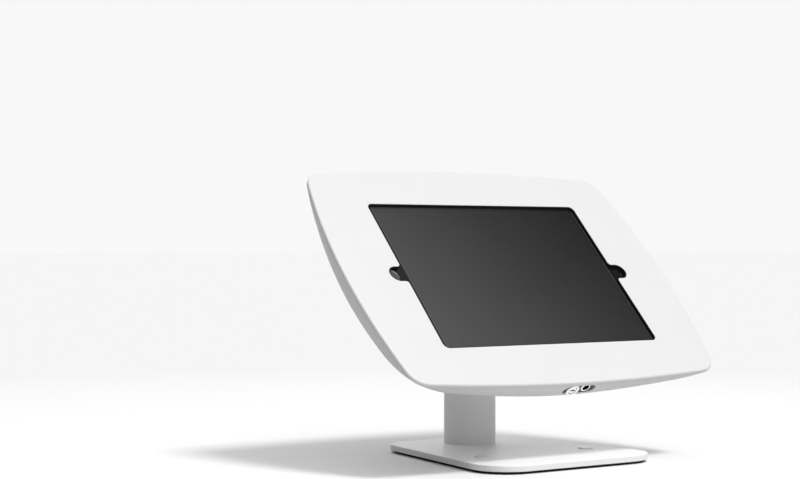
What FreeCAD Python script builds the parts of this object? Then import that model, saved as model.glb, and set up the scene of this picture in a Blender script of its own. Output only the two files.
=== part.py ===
import FreeCAD, Part
import math
import os
import re
import Sketcher
from FreeCAD import Placement, Rotation, Vector

# Counter-top tablet mount: domed head with a hinged faceplate, bent tube arm, flat base.
# Millimetres. World frame: +Z up, -Y towards the user, origin under the middle of the base.
# Head frame: x to the user's right, y up the face, z out of the face, 0 at the faceplate's front.

os.makedirs("parts", exist_ok=True)
doc = FreeCAD.newDocument("TabletMount")

SIZES = {
    # head as a whole
    "tilt": 45.6,
    "headHeight": 139.2,
    "headForward": 4.8,
    # dome that the faceplate and the shell follow
    "domeDepth": 60.5,
    "domeCutOff": 2.0,
    "shellWall": 3.0,
    "sideBluntness": 1.3726,
    "sideRoundness": 3.5,
    "topBluntness": 1.0085,
    "topRoundness": 6.635,
    "cornerPower": 0.62,
    "cornerFade": 0.14,
    # faceplate and its window
    "faceThick": 2.5,
    "faceEdgeRound": 1.6,
    "faceGap": 0.2,
    "windowWide": 198.0,
    "windowHigh": 143.5,
    "borderSide": 51.3,
    "borderTop": 37.75,
    "windowCorner": 4.5,
    "windowLip": 0.8,
    "windowEdgeRound": 0.4,
    "notchDeep": 12.5,
    "notchHalfHigh": 7.2,
    "notchRootRound": 2.6,
    "gasketWide": 7.5,
    "gasketGap": 0.1,
    "linerWide": 0.6,
    "linerSetBack": 0.25,
    "linerGap": 0.05,
    # tablet
    "tabletBeyondSide": 21.0,
    "tabletBeyondTop": 13.0,
    "tabletThick": 7.1,
    "tabletCorner": 11.0,
    "tabletEdge": 1.8,
    "tabletGap": 0.1,
    "glassThick": 1.1,
    "glassInset": 1.2,
    "screenInsideSide": 0.5,
    "screenBeyondTop": 2.25,
    "screenThick": 1.4,
    "buttonAcross": 13.4,
    "buttonThick": 1.0,
    "buttonFromEdge": 11.0,
    "buttonClearance": 0.08,
    "buttonRim": 0.8,
    "buttonDish": 0.2,
    "lensAcross": 5.2,
    "lensFromEdge": 10.0,
    "lensThick": 0.9,
    # chassis and what it carries
    "foamThick": 4.4,
    "foamInset": 24.0,
    "layerGap": 0.1,
    "chassisThick": 1.6,
    "chassisBeyondSide": 6.0,
    "chassisBeyondTop": 6.25,
    "chassisCorner": 34.0,
    "chassisTabBelowRail": 1.4,
    "chassisTabWide": 24.0,
    "chassisTabCorner": 3.0,
    "chassisSlotWide": 22.0,
    "chassisSlotHigh": 90.0,
    "chassisSlotAt": 68.0,
    "chassisSlotPitch": 28.0,
    "padThick": 5.0,
    "padLong": 24.0,
    "padHigh": 9.6,
    "padClearance": 0.3,
    "padAlongTop": 80.0,
    "padUpSide": 45.0,
    # hooks and rail at the top edge
    "hookOuter": 16.0,
    "hookThick": 1.5,
    "hookSweep": 45.0,
    "hookWide": 16.0,
    "hookSpacing": 70.0,
    "hookFoot": 5.8,
    "pivotBelowEdge": 0.2,
    "railClearance": 0.3,
    "railHalfLong": 80.0,
    "railBelowEdge": 9.5,
    "railFootHigh": 8.5,
    "railFootDeep": 3.0,
    "railScrewAcross": 3.0,
    "railScrewHead": 5.6,
    "railScrewHeadThick": 1.6,
    "railScrewLong": 5.0,
    "railFront": 1.5,
    "railDeep": 7.0,
    "railFootWide": 18.0,
    "railFootAt": 35.0,
    # shell bosses and the screws into them
    "bossAcross": 10.0,
    "bossInsideSide": 16.0,
    "bossInsideTop": 23.75,
    "bossScrewAcross": 3.5,
    "bossScrewHead": 7.0,
    "bossScrewHeadThick": 2.0,
    "bossScrewLong": 8.0,
    # lock
    "lockX": 0.0,
    "lockBehind": 9.6,
    "recessHalfHigh": 5.8,
    "recessLeft": 2.2,
    "recessRight": 14.5,
    "recessDeep": 3.8,
    "recessFloor": 2.5,
    "recessMargin": 3.0,
    "lockProud": 0.6,
    "lockRing": 11.0,
    "lockBody": 8.6,
    "lockBore": 6.6,
    "lockReach": 8.0,
    "plugClearance": 0.06,
    "plugBelowRing": 0.4,
    "stubAcross": 4.4,
    "keySlotLong": 4.6,
    "keySlotWide": 1.1,
    "keySlotDeep": 3.0,
    "camAcross": 12.4,
    "camFlat": 3.3,
    "camThick": 2.0,
    "camGap": 0.2,
    "camScrewHead": 5.5,
    "camScrewHeadThick": 1.5,
    "camScrewShank": 2.6,
    "camScrewLong": 6.0,
    "nutAcross": 13.0,
    "nutThick": 2.4,
    "recessScrewX": 13.6,
    "recessScrewHead": 8.2,
    "recessScrewHeadThick": 2.0,
    "recessScrewShank": 4.0,
    "recessScrewLong": 7.0,
    # latch bracket
    "latchClearance": 0.5,
    "latchThick": 2.0,
    "latchReach": 50.0,
    "latchWide": 8.0,
    "latchFootThick": 1.5,
    "latchFootLong": 8.0,
    # arm
    "tubeAcross": 40.0,
    "tubeWall": 2.5,
    "armBack": 50.3,
    "armBelowMiddle": 11.0,
    "armBend": 50.0,
    "flangeAcross": 60.0,
    "flangeThick": 4.0,
    "flangeOffShell": 4.5,
    "weldGap": 0.05,
    "grommetWall": 2.0,
    "grommetProud": 1.0,
    "grommetGap": 0.1,
    # posts between flange and chassis, and their screws
    "postAcross": 8.0,
    "postOut": 25.0,
    "postScrewAcross": 4.0,
    "postScrewHead": 7.6,
    "postScrewHeadThick": 2.2,
    "postScrewLong": 9.0,
    "screwGap": 0.1,
    "socketShare": 0.42,
    "socketDeep": 1.2,
    # base
    "basePadThick": 2.0,
    "basePadInset": 3.0,
    "plateThick": 4.5,
    "plateDeep": 171.6,
    "plateFrontHalf": 80.5,
    "plateBackHalf": 57.1,
    "plateFrontCorner": 28.4,
    "plateBackCorner": 20.0,
    "plateEdgeRound": 0.8,
    "tubePlugThick": 10.0,
    "cableHole": 14.0,
    "baseScrewOut": 12.2,
    "baseScrewAcross": 5.0,
    "baseScrewHead": 9.0,
    "baseScrewHeadThick": 2.6,
    "baseScrewLong": 10.0,
    "capAcross": 11.0,
    "capHigh": 0.9,
    "capRound": 0.5,
    "capSpigot": 9.6,
    "capSpigotLong": 1.6,
    "capBoreDeep": 2.2,
    "fixingHole": 6.5,
    "fixingX": 48.8,
    "fixingForward": 30.5,
}

# Sizes that follow from those, as formulas in the same sheet: the head and the tablet grow with the window.
FOLLOWING = {
    "domeHalfWide": "=windowWide / 2 + borderSide",
    "domeHalfHigh": "=windowHigh / 2 + borderTop",
    "tabletWide": "=windowWide + 2 * tabletBeyondSide",
    "tabletHigh": "=windowHigh + 2 * tabletBeyondTop",
    "screenWide": "=windowWide - 2 * screenInsideSide",
    "screenHigh": "=windowHigh + 2 * screenBeyondTop",
    "chassisWide": "=tabletWide + 2 * chassisBeyondSide",
    "chassisHigh": "=tabletHigh + 2 * chassisBeyondTop",
    "bossX": "=tabletWide / 2 - bossInsideSide",
    "bossY": "=tabletHigh / 2 - bossInsideTop",
    "railTop": "=domeHalfHigh - railBelowEdge",
    "railFootLow": "=railTop - railFootHigh",
    "chassisTabReach": "=railTop - chassisTabBelowRail - chassisHigh / 2",
}
NAMED = SIZES | FOLLOWING

sheet = doc.addObject("Spreadsheet::Sheet", "Sizes")
for row, (name, size) in enumerate(NAMED.items(), 1):
    sheet.set(f"A{row}", name)
    sheet.set(f"B{row}", str(size))
    sheet.setAlias(f"B{row}", name)
doc.recompute()


def bound(text):
    """An expression with each size's name pointed at the sheet."""
    return re.sub(r"[A-Za-z]\w*", lambda m: ("Sizes." + m.group()) if m.group() in NAMED else m.group(), text)


def value(text):
    """What an expression comes to now."""
    return float(sheet.evalExpression(bound(str(text))))


# Values worked out once from the sizes, as expressions.
TABLET_FRONT = "(faceThick + tabletGap)"
TABLET_BACK = f"({TABLET_FRONT} + tabletThick)"
CHASSIS_FRONT = f"({TABLET_BACK} + foamThick + 2 * layerGap)"
CHASSIS_BACK = f"({CHASSIS_FRONT} + chassisThick)"
SHELL_RIM = "(faceThick + faceGap)"
PIVOT_UP = "(domeHalfHigh - pivotBelowEdge)"
PIVOT_BACK = "faceThick"
PLATE_TOP = "(basePadThick + plateThick)"
SHELL_DEEP = "(domeDepth - domeCutOff)"
FLANGE_BACK = f"({SHELL_DEEP} - shellWall - flangeOffShell)"
FLANGE_FRONT = f"({FLANGE_BACK} - flangeThick)"
# the shell's outer surface below the lock, and the levels of the lock's parts, measured down the face
LOCK_SKIN = "(domeHalfHigh * sqrt(1 - (lockBehind / domeDepth)^2))"
RECESS_FLOOR = f"({LOCK_SKIN} - recessDeep)"
RECESS_BACK = f"({RECESS_FLOOR} - recessFloor)"
LOCK_FACE = f"({LOCK_SKIN} + lockProud)"
LOCK_TAIL = f"({RECESS_BACK} - lockReach)"
CAM_NEAR = f"({LOCK_TAIL} - camGap)"
CAM_FAR = f"({CAM_NEAR} - camThick)"


# Bodies and sketches

PARTS = []


def body(label, head=False):
    item = doc.addObject("PartDesign::Body", label)
    item.Label = label
    if head:
        item.Placement = Placement(Vector(0, 0, 0), Rotation(Vector(1, 0, 0), value("tilt")))
        item.setExpression("Placement.Base.y", bound("-headForward"))
        item.setExpression("Placement.Base.z", bound("headHeight"))
        item.setExpression("Placement.Rotation.Angle", bound("tilt"))
    PARTS.append(item)
    return item


def sketch(item, name, plane="XY_Plane", along="0"):
    """A sketch on one of the body's own planes, moved along the plane's normal."""
    drawing = item.newObject("Sketcher::SketchObject", name)
    planes = {feature.Role: feature for feature in item.Origin.OriginFeatures}
    drawing.AttachmentSupport = [(planes[plane], "")]
    drawing.MapMode = "FlatFace"
    drawing.AttachmentOffset = Placement(Vector(0, 0, value(along)), Rotation())
    drawing.setExpression("AttachmentOffset.Base.z", bound(along))
    return drawing


def constrain(drawing, kind, *rest):
    """A constraint whose last item is an expression for its size."""
    *where, text = rest
    index = drawing.addConstraint(Sketcher.Constraint(kind, *where, value(text)))
    label = f"size{index}"
    drawing.renameConstraint(index, label)
    drawing.setExpression(f"Constraints.{label}", bound(text))


def place(drawing, geometry, point, x, y):
    """Ties a point of the drawing to its place."""
    constrain(drawing, "DistanceX", -1, 1, geometry, point, x)
    constrain(drawing, "DistanceY", -1, 1, geometry, point, y)


def circle(drawing, x, y, across):
    centre = Vector(value(x), value(y), 0)
    index = drawing.addGeometry(Part.Circle(centre, Vector(0, 0, 1), value(across) / 2), False)
    place(drawing, index, 3, x, y)
    constrain(drawing, "Diameter", index, across)


def polygon(drawing, corners):
    """A closed outline of straight lines through the corners."""
    points = [Vector(value(x), value(y), 0) for x, y in corners]
    lines = [Part.LineSegment(a, b) for a, b in zip(points, points[1:] + points[:1])]
    for line, (x, y) in zip(chain(drawing, lines, "Coincident"), corners):
        place(drawing, line, 1, x, y)


def box(drawing, left, right, low, top):
    polygon(drawing, [(left, low), (right, low), (right, top), (left, top)])


def arc(centre, radius, start, end):
    """An arc of a circle, anticlockwise from start to end in radians."""
    return Part.ArcOfCircle(Part.Circle(centre, Vector(0, 0, 1), radius), start, end)


def meeting_ends(piece, following):
    """Which end of one piece (1 or 2) meets which end of the next."""
    ends = {1: piece.StartPoint, 2: piece.EndPoint}
    starts = {1: following.StartPoint, 2: following.EndPoint}
    pairs = [(a, b) for a in ends for b in starts]
    return min(pairs, key=lambda pair: ends[pair[0]].distanceToPoint(starts[pair[1]]))


def chain(drawing, pieces, kind="Tangent", smooth=()):
    """Adds pieces end to end in a ring and joins them, tangent after the ones named in smooth."""
    indices = [drawing.addGeometry(piece, False) for piece in pieces]
    for number, index in enumerate(indices):
        following = (number + 1) % len(indices)
        end, start = meeting_ends(pieces[number], pieces[following])
        joint = "Tangent" if number in smooth else kind
        drawing.addConstraint(Sketcher.Constraint(joint, index, end, indices[following], start))
    return indices


def rounded_polygon(drawing, corners, radii):
    """A closed convex outline, anticlockwise, with a radius for each corner."""
    points = [Vector(value(x), value(y), 0) for x, y in corners]
    pieces = []
    starts = []
    ends = []
    centres = []
    for number, point in enumerate(points):
        size = value(radii[number])
        back = (points[number - 1] - point).normalize()
        on = (points[(number + 1) % len(points)] - point).normalize()
        half = math.acos(max(-1.0, min(1.0, back.dot(on)))) / 2
        starts.append(point + back * (size / math.tan(half)))
        ends.append(point + on * (size / math.tan(half)))
        centres.append(point + (back + on).normalize() * (size / math.sin(half)))
    for number, centre in enumerate(centres):
        first, last = starts[number] - centre, ends[number] - centre
        bend = arc(centre, first.Length, math.atan2(first.y, first.x), math.atan2(last.y, last.x))
        pieces += [bend, Part.LineSegment(ends[number], starts[(number + 1) % len(points)])]
    indices = chain(drawing, pieces)
    for number, (x, y) in enumerate(corners):
        constrain(drawing, "Radius", indices[2 * number], radii[number])
        # the sharp corner stays as a construction point on both of its lines
        mark = drawing.addGeometry(Part.Point(points[number]), True)
        for line in (indices[2 * number - 1], indices[2 * number + 1]):
            drawing.addConstraint(Sketcher.Constraint("PointOnObject", mark, 1, line))
        place(drawing, mark, 1, x, y)


def rounded_box(drawing, wide, high, radius, x="0", y="0"):
    left, right = f"{x} - ({wide}) / 2", f"{x} + ({wide}) / 2"
    low, top = f"{y} - ({high}) / 2", f"{y} + ({high}) / 2"
    rounded_polygon(drawing, [(left, low), (right, low), (right, top), (left, top)], [radius] * 4)


def oval(drawing, half_wide, half_high, side, top, corner):
    """The head's outline: four wide arcs joined by four corner arcs."""
    wide, high = value(half_wide), value(half_high)
    side_radius, top_radius, corner_radius = value(side), value(top), value(corner)
    side_centre = Vector(wide - side_radius, 0, 0)
    top_centre = Vector(0, high - top_radius, 0)
    across = top_centre - side_centre
    span = across.Length
    near, far = side_radius - corner_radius, top_radius - corner_radius
    along = (near**2 - far**2 + span**2) / (2 * span)
    off = math.sqrt(near**2 - along**2)
    unit = across * (1 / span)
    middle = side_centre + unit * along
    sideways = Vector(unit.y, -unit.x, 0) * off
    corner_centre = max((middle + sideways, middle - sideways), key=lambda point: point.x + point.y)
    low = math.atan2(corner_centre.y, corner_centre.x - side_centre.x)
    steep = math.atan2(corner_centre.y - top_centre.y, corner_centre.x)
    turn = math.pi
    pieces = [
        arc(side_centre, side_radius, -low, low),
        arc(corner_centre, corner_radius, low, steep),
        arc(top_centre, top_radius, steep, turn - steep),
        arc(Vector(-corner_centre.x, corner_centre.y, 0), corner_radius, turn - steep, turn - low),
        arc(Vector(-side_centre.x, 0, 0), side_radius, turn - low, turn + low),
        arc(corner_centre * -1, corner_radius, turn + low, turn + steep),
        arc(Vector(0, -top_centre.y, 0), top_radius, turn + steep, 2 * turn - steep),
        arc(Vector(corner_centre.x, -corner_centre.y, 0), corner_radius, 2 * turn - steep, 2 * turn - low),
    ]
    g = chain(drawing, pieces)
    for other in (g[3], g[5], g[7]):
        drawing.addConstraint(Sketcher.Constraint("Equal", g[1], other))
    drawing.addConstraint(Sketcher.Constraint("Equal", g[0], g[4]))
    drawing.addConstraint(Sketcher.Constraint("Equal", g[2], g[6]))
    drawing.addConstraint(Sketcher.Constraint("PointOnObject", g[0], 3, -1))
    drawing.addConstraint(Sketcher.Constraint("PointOnObject", g[2], 3, -2))
    drawing.addConstraint(Sketcher.Constraint("Symmetric", g[0], 3, g[4], 3, -1, 1))
    drawing.addConstraint(Sketcher.Constraint("Symmetric", g[2], 3, g[6], 3, -1, 1))
    constrain(drawing, "Radius", g[0], side)
    constrain(drawing, "Radius", g[2], top)
    constrain(drawing, "Radius", g[1], corner)
    constrain(drawing, "DistanceX", -1, 1, g[0], 3, f"({half_wide}) - ({side})")
    constrain(drawing, "DistanceY", -1, 1, g[2], 3, f"({half_high}) - ({top})")


def dome_outline(drawing, depth, skin="0"):
    """The dome's outline at a depth behind the face; skin is how far inside the outer surface."""
    share = f"(({depth}) / (domeDepth - ({skin})))"
    shrink = f"sqrt(1 - {share}^2)"
    high = f"((domeHalfHigh - ({skin})) * {shrink})"
    wide = f"((domeHalfWide - ({skin})) * {shrink})"
    # radii of the outline's two ends in a drawing of any proportion, flattened towards the rim
    end = f"({high} * min(1; sideBluntness * {high} / {wide}))"
    side = f"({end} * (1 + sideRoundness * (1 - {share})^2))"
    top = f"({wide}^2 / {high} * (topBluntness + topRoundness * (1 - {share})^2.5))"
    corner = f"({end} * {share}^cornerPower * (1 - cornerFade * {share}^3))"
    oval(drawing, wide, high, side, top, corner)


def slot(drawing, left, right, y, radius):
    """An obround along x from one end's centre to the other's."""
    a, b, level, r = value(left), value(right), value(y), value(radius)
    quarter = math.pi / 2
    pieces = [
        arc(Vector(a, level, 0), r, quarter, 3 * quarter),
        Part.LineSegment(Vector(a, level - r, 0), Vector(b, level - r, 0)),
        arc(Vector(b, level, 0), r, -quarter, quarter),
        Part.LineSegment(Vector(b, level + r, 0), Vector(a, level + r, 0)),
    ]
    g = chain(drawing, pieces)
    place(drawing, g[0], 3, left, y)
    place(drawing, g[2], 3, right, y)
    constrain(drawing, "Radius", g[0], radius)


# Features


def pad(item, drawing, length, backwards=False):
    feature = item.newObject("PartDesign::Pad", "Pad")
    feature.Profile = drawing
    feature.setExpression("Length", bound(length))
    feature.Reversed = backwards
    return feature


def pocket(item, drawing, length, backwards=False):
    """A cut against the sketch's normal, or along it when backwards; it has to remove something."""
    doc.recompute()
    before = item.Shape.Volume
    feature = item.newObject("PartDesign::Pocket", "Pocket")
    feature.Profile = drawing
    feature.setExpression("Length", bound(length))
    feature.Reversed = backwards
    doc.recompute()
    if item.Shape.Volume >= before:
        raise ValueError(f"{item.Label}: {drawing.Label} cuts nothing")
    return feature


def loft(item, kind, drawings):
    feature = item.newObject(f"PartDesign::{kind}", kind)
    feature.Profile = drawings[0]
    feature.Sections = drawings[1:]
    return feature


def discs(item, name, rings, along, length, plane="XY_Plane", backwards=False):
    """Pads circles, each (x, y, across)."""
    drawing = sketch(item, name, plane, along)
    for ring in rings:
        circle(drawing, *ring)
    return pad(item, drawing, length, backwards)


def holes(item, name, rings, along, length, plane="XY_Plane", backwards=False):
    """Cuts circles, each (x, y, across)."""
    drawing = sketch(item, name, plane, along)
    for ring in rings:
        circle(drawing, *ring)
    return pocket(item, drawing, length, backwards)


def edges_at(item, level, picked):
    """Names of the edges in the body's own plane z = level whose middle point is picked."""
    doc.recompute()
    own = item.Placement.inverse()
    names = []
    for number, edge in enumerate(item.Shape.Edges, 1):
        first, span = edge.FirstParameter, edge.LastParameter - edge.FirstParameter
        start, middle, end = (own.multVec(edge.valueAt(first + span * share)) for share in (0, 0.5, 1))
        if max(abs(point.z - value(level)) for point in (start, middle, end)) < 1e-4 and picked(middle):
            names.append(f"Edge{number}")
    return names


def round_edges(item, names, radius):
    if not names:
        raise ValueError(f"{item.Label}: no edge to round")
    rounded = item.Tip
    feature = item.newObject("PartDesign::Fillet", "Fillet")
    feature.Base = (rounded, names)
    feature.setExpression("Radius", bound(radius))
    return feature


def screws(label, spots, seat, head, head_thick, across, long, inward, plane="XY_Plane", head_frame=True):
    """Socket screws as one group: heads stand on the seat, shanks go the other way for their length."""
    item = body(label, head_frame)
    discs(item, "Heads", [(x, y, head) for x, y in spots], seat, head_thick, plane, backwards=inward)
    discs(item, "Shanks", [(x, y, across) for x, y in spots], seat, long, plane, backwards=not inward)
    sockets = [(x, y, f"({head}) * socketShare") for x, y in spots]
    top = f"({seat}) - ({head_thick})" if inward else f"({seat}) + ({head_thick})"
    holes(item, "Sockets", sockets, top, "socketDeep", plane, backwards=inward)
    return item


# Faceplate: front at z = 0, with the window, its notches and a rebate behind it for the gasket


def notched_window(drawing, grow="0"):
    """The window with a rounded notch in the middle of each short side; grow moves it outwards."""
    wide, high = value(f"windowWide / 2 + ({grow})"), value(f"windowHigh / 2 + ({grow})")
    corner, root = value(f"windowCorner + ({grow})"), value(f"notchRootRound - ({grow})")
    tall, tip = value(f"notchHalfHigh + ({grow})"), value(f"windowWide / 2 + notchDeep + ({grow})")
    quarter = math.pi / 2
    pieces = []
    for side in (1, -1):
        turned = 0 if side == 1 else math.pi

        def line(x1, y1, x2, y2):
            return Part.LineSegment(Vector(x1, y1, 0) * side, Vector(x2, y2, 0) * side)

        def bend(x, y, radius, start, quarters):
            start = turned + start * quarter
            return arc(Vector(x, y, 0) * side, radius, start, start + quarters * quarter)

        pieces += [
            line(wide, corner - high, wide, -tall - root),
            bend(wide + root, -tall - root, root, 1, 1),
            line(wide + root, -tall, tip - tall, -tall),
            bend(tip - tall, 0, tall, -1, 2),
            line(tip - tall, tall, wide + root, tall),
            bend(wide + root, tall + root, root, 2, 1),
            line(wide, tall + root, wide, high - corner),
            bend(wide - corner, high - corner, corner, 0, 1),
            line(wide - corner, high, corner - wide, high),
            bend(corner - wide, high - corner, corner, 1, 1),
        ]
    g = chain(drawing, pieces)
    for index in (0, 10):
        drawing.addConstraint(Sketcher.Constraint("Vertical", g[index]))
    for index in (2, 4, 8, 12, 14, 18):
        drawing.addConstraint(Sketcher.Constraint("Horizontal", g[index]))
    for first, others in ((7, (9, 17, 19)), (1, (5, 11, 15)), (3, (13,))):
        for other in others:
            drawing.addConstraint(Sketcher.Constraint("Equal", g[first], g[other]))
    constrain(drawing, "Radius", g[7], f"windowCorner + ({grow})")
    constrain(drawing, "Radius", g[1], f"notchRootRound - ({grow})")
    constrain(drawing, "Radius", g[3], f"notchHalfHigh + ({grow})")
    place(drawing, g[0], 1, f"windowWide / 2 + ({grow})", "windowCorner - windowHigh / 2")
    place(drawing, g[10], 1, f"-windowWide / 2 - ({grow})", "windowHigh / 2 - windowCorner")
    place(drawing, g[3], 3, "windowWide / 2 + notchDeep - notchHalfHigh", "0")
    place(drawing, g[13], 3, "notchHalfHigh - windowWide / 2 - notchDeep", "0")


def gasket_box(item, name, along, gap):
    """Two sketches that together frame the window and its notches."""
    frame = sketch(item, name, along=along)
    rim = f"2 * (gasketWide - ({gap}))"
    rounded_box(frame, f"windowWide + {rim}", f"windowHigh + {rim}", f"gasketWide - ({gap})")
    ears = sketch(item, name + "Ears", along=along)
    wide = f"windowWide + 2 * notchDeep + {rim}"
    rounded_box(ears, wide, f"2 * (notchHalfHigh + notchRootRound) + {rim}", f"gasketWide - ({gap})")
    return frame, ears


faceplate = body("faceplate", head=True)
outline = sketch(faceplate, "Outline", along="-faceThick")
dome_outline(outline, SHELL_RIM)
pad(faceplate, outline, "faceThick")
window = sketch(faceplate, "Window")
notched_window(window)
pocket(faceplate, window, "faceThick")
for drawing in gasket_box(faceplate, "Rebate", "-faceThick", "0"):
    pocket(faceplate, drawing, "faceThick - windowLip", backwards=True)
beyond_window = value("windowWide / 2 + notchDeep + gasketWide")
above_window = value("windowHigh / 2 + gasketWide")
rim_edges = edges_at(faceplate, "0", lambda p: abs(p.x) > beyond_window or abs(p.y) > above_window)
round_edges(faceplate, rim_edges, "faceEdgeRound")
window_edges = edges_at(faceplate, "0", lambda p: abs(p.x) < beyond_window and abs(p.y) < above_window)
round_edges(faceplate, window_edges, "windowEdgeRound")

window_gasket = body("window_gasket", head=True)
for drawing in gasket_box(window_gasket, "Frame", "-faceThick", "gasketGap"):
    pad(window_gasket, drawing, "faceThick - windowLip")
# a thin liner covers the window's cut edge, so that only black shows round the screen
liner = sketch(window_gasket, "Liner", along="-faceThick")
notched_window(liner, "-linerGap")
pad(window_gasket, liner, "faceThick - linerSetBack")
window = sketch(window_gasket, "Window", along="-linerSetBack")
notched_window(window, "-linerWide")
pocket(window_gasket, window, "faceThick")

# Hooks: a flat foot on the faceplate's back, then an arc round the pivot line at the shell's top rim

HOOK_INNER = "(hookOuter - hookThick)"


def hook_profile(drawing):
    pivot = Vector(value(PIVOT_UP), -value(PIVOT_BACK), 0)
    outer, inner = value("hookOuter"), value(HOOK_INNER)
    sweep = math.radians(value("hookSweep"))
    start = math.asin(value("hookThick") / outer)

    def round_pivot(radius, angle):
        return pivot - Vector(math.cos(angle), math.sin(angle), 0) * radius

    toe = Vector(value(f"{PIVOT_UP} - hookOuter - hookFoot"), pivot.y, 0)
    heel = toe - Vector(0, value("hookThick"), 0)
    pieces = [
        Part.LineSegment(toe, round_pivot(inner, 0)),
        arc(pivot, inner, math.pi, math.pi + sweep),
        Part.LineSegment(round_pivot(inner, sweep), round_pivot(outer, sweep)),
        arc(pivot, outer, math.pi + start, math.pi + sweep),
        Part.LineSegment(round_pivot(outer, start), heel),
        Part.LineSegment(heel, toe),
    ]
    g = chain(drawing, pieces, "Coincident")
    for curve, radius in ((g[1], HOOK_INNER), (g[3], "hookOuter")):
        place(drawing, curve, 3, PIVOT_UP, f"-{PIVOT_BACK}")
        constrain(drawing, "Radius", curve, radius)
    place(drawing, g[0], 1, f"{PIVOT_UP} - hookOuter - hookFoot", f"-{PIVOT_BACK}")
    place(drawing, g[5], 1, f"{PIVOT_UP} - hookOuter - hookFoot", f"-{PIVOT_BACK} - hookThick")
    drawing.addConstraint(Sketcher.Constraint("Horizontal", g[0]))
    drawing.addConstraint(Sketcher.Constraint("Horizontal", g[4]))
    for curve, radius in ((g[2], HOOK_INNER), (g[3], "hookOuter")):
        low = f"-{PIVOT_BACK} - {radius} * sin(hookSweep * 1 deg)"
        constrain(drawing, "DistanceY", -1, 1, curve, 1 if curve == g[2] else 2, low)


hook_tabs = body("hook_tabs", head=True)
for side in (-1, 0, 1):
    profile = sketch(hook_tabs, "Hook", "YZ_Plane", f"{side} * hookSpacing - hookWide / 2")
    hook_profile(profile)
    pad(hook_tabs, profile, "hookWide")

# Latch bracket: a hooked plate whose round seat lies behind the cam when the lock is turned

latch_bracket = body("latch_bracket", head=True)
seat = sketch(latch_bracket, "Seat", "XZ_Plane", CAM_FAR)
SEAT = "(camAcross / 2 + latchClearance)"
centre = Vector(value("lockX"), -value("lockBehind"), 0)
reach = math.radians(value("latchReach"))
radius = value(SEAT)
tip = centre - Vector(math.cos(reach), math.sin(reach), 0) * radius
far = centre.x - radius - value("latchWide")
near = centre.x - radius
foot = tip.y - value("latchThick")
back = -value("faceThick")
pieces = [
    Part.LineSegment(Vector(near, back, 0), Vector(near, centre.y, 0)),
    arc(centre, radius, math.pi, math.pi + reach),
    Part.LineSegment(tip, Vector(tip.x, foot, 0)),
    Part.LineSegment(Vector(tip.x, foot, 0), Vector(far, foot, 0)),
    Part.LineSegment(Vector(far, foot, 0), Vector(far, back, 0)),
    Part.LineSegment(Vector(far, back, 0), Vector(near, back, 0)),
]
g = chain(seat, pieces, "Coincident", smooth=(0,))
for index in (0, 2, 4):
    seat.addConstraint(Sketcher.Constraint("Vertical", g[index]))
for index in (3, 5):
    seat.addConstraint(Sketcher.Constraint("Horizontal", g[index]))
place(seat, g[1], 3, "lockX", "-lockBehind")
constrain(seat, "Radius", g[1], SEAT)
constrain(seat, "DistanceY", -1, 1, g[0], 1, "-faceThick")
constrain(seat, "DistanceX", -1, 1, g[3], 2, f"lockX - {SEAT} - latchWide")
TIP_BACK = f"(-lockBehind - {SEAT} * sin(latchReach * 1 deg))"
constrain(seat, "DistanceY", -1, 1, g[2], 1, TIP_BACK)
constrain(seat, "DistanceY", -1, 1, g[2], 2, f"{TIP_BACK} - latchThick")
pad(latch_bracket, seat, "camThick")
foot = sketch(latch_bracket, "Foot", along="-faceThick")
box(foot, f"lockX - {SEAT} - latchWide", f"lockX - {SEAT}", f"-{CAM_FAR} - latchFootLong", f"-{CAM_FAR}")
pad(latch_bracket, foot, "latchFootThick", backwards=True)

# Rear shell: a domed loft, hollowed by a smaller one

DOME_SHARES = (0.14, 0.32, 0.51, 0.69, 0.84, 0.945, 1)


def dome(item, kind, skin, front, deep):
    """Lofts through outlines of the dome from one depth to another."""
    sections = []
    for number, share in enumerate((0,) + DOME_SHARES):
        level = f"({front} + {share} * ({deep} - {front}))"
        section = sketch(item, f"Section{number}", along=f"-{level}")
        dome_outline(section, level, skin)
        sections.append(section)
    return loft(item, kind, sections)


corners = [(f"{i} * bossX", f"{j} * bossY") for i in (-1, 1) for j in (-1, 1)]
lock_spot = ("lockX", "-lockBehind")
screw_spot = ("lockX + recessScrewX", "-lockBehind")

rear_shell = body("rear_shell", head=True)
dome(rear_shell, "AdditiveLoft", "0", SHELL_RIM, SHELL_DEEP)
dome(rear_shell, "SubtractiveLoft", "shellWall", f"({SHELL_RIM} / 2)", f"({SHELL_DEEP} - shellWall)")
# wedge inside the wall that thickens it behind the lock recess
block = sketch(rear_shell, "LockBlock", "YZ_Plane", "lockX - recessLeft - recessHalfHigh - recessMargin")
BLOCK_BACK = "(lockBehind + recessHalfHigh + recessMargin / 3)"
polygon(
    block,
    [
        (f"-{RECESS_BACK}", f"-{SHELL_RIM}"),
        ("shellWall / 2 - domeHalfHigh", f"-{SHELL_RIM}"),
        (f"shellWall / 2 - domeHalfHigh * sqrt(1 - ({BLOCK_BACK} / domeDepth)^2)", f"-{BLOCK_BACK}"),
        (f"-{RECESS_BACK}", f"-{BLOCK_BACK}"),
    ],
)
pad(rear_shell, block, "recessLeft + recessRight + 2 * (recessHalfHigh + recessMargin)")
recess = sketch(rear_shell, "LockRecess", "XZ_Plane", RECESS_FLOOR)
slot(recess, "lockX - recessLeft", "lockX + recessRight", "-lockBehind", "recessHalfHigh")
pocket(rear_shell, recess, "2 * recessDeep", backwards=True)
floor_holes = [(*lock_spot, "lockBody + 2 * screwGap"), (*screw_spot, "recessScrewShank + 2 * screwGap")]
holes(rear_shell, "FloorHoles", floor_holes, RECESS_FLOOR, "recessFloor + shellWall", "XZ_Plane")
arm_hole = [("0", "-armBelowMiddle", "tubeAcross + 2 * (grommetWall + 2 * grommetGap)")]
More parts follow.
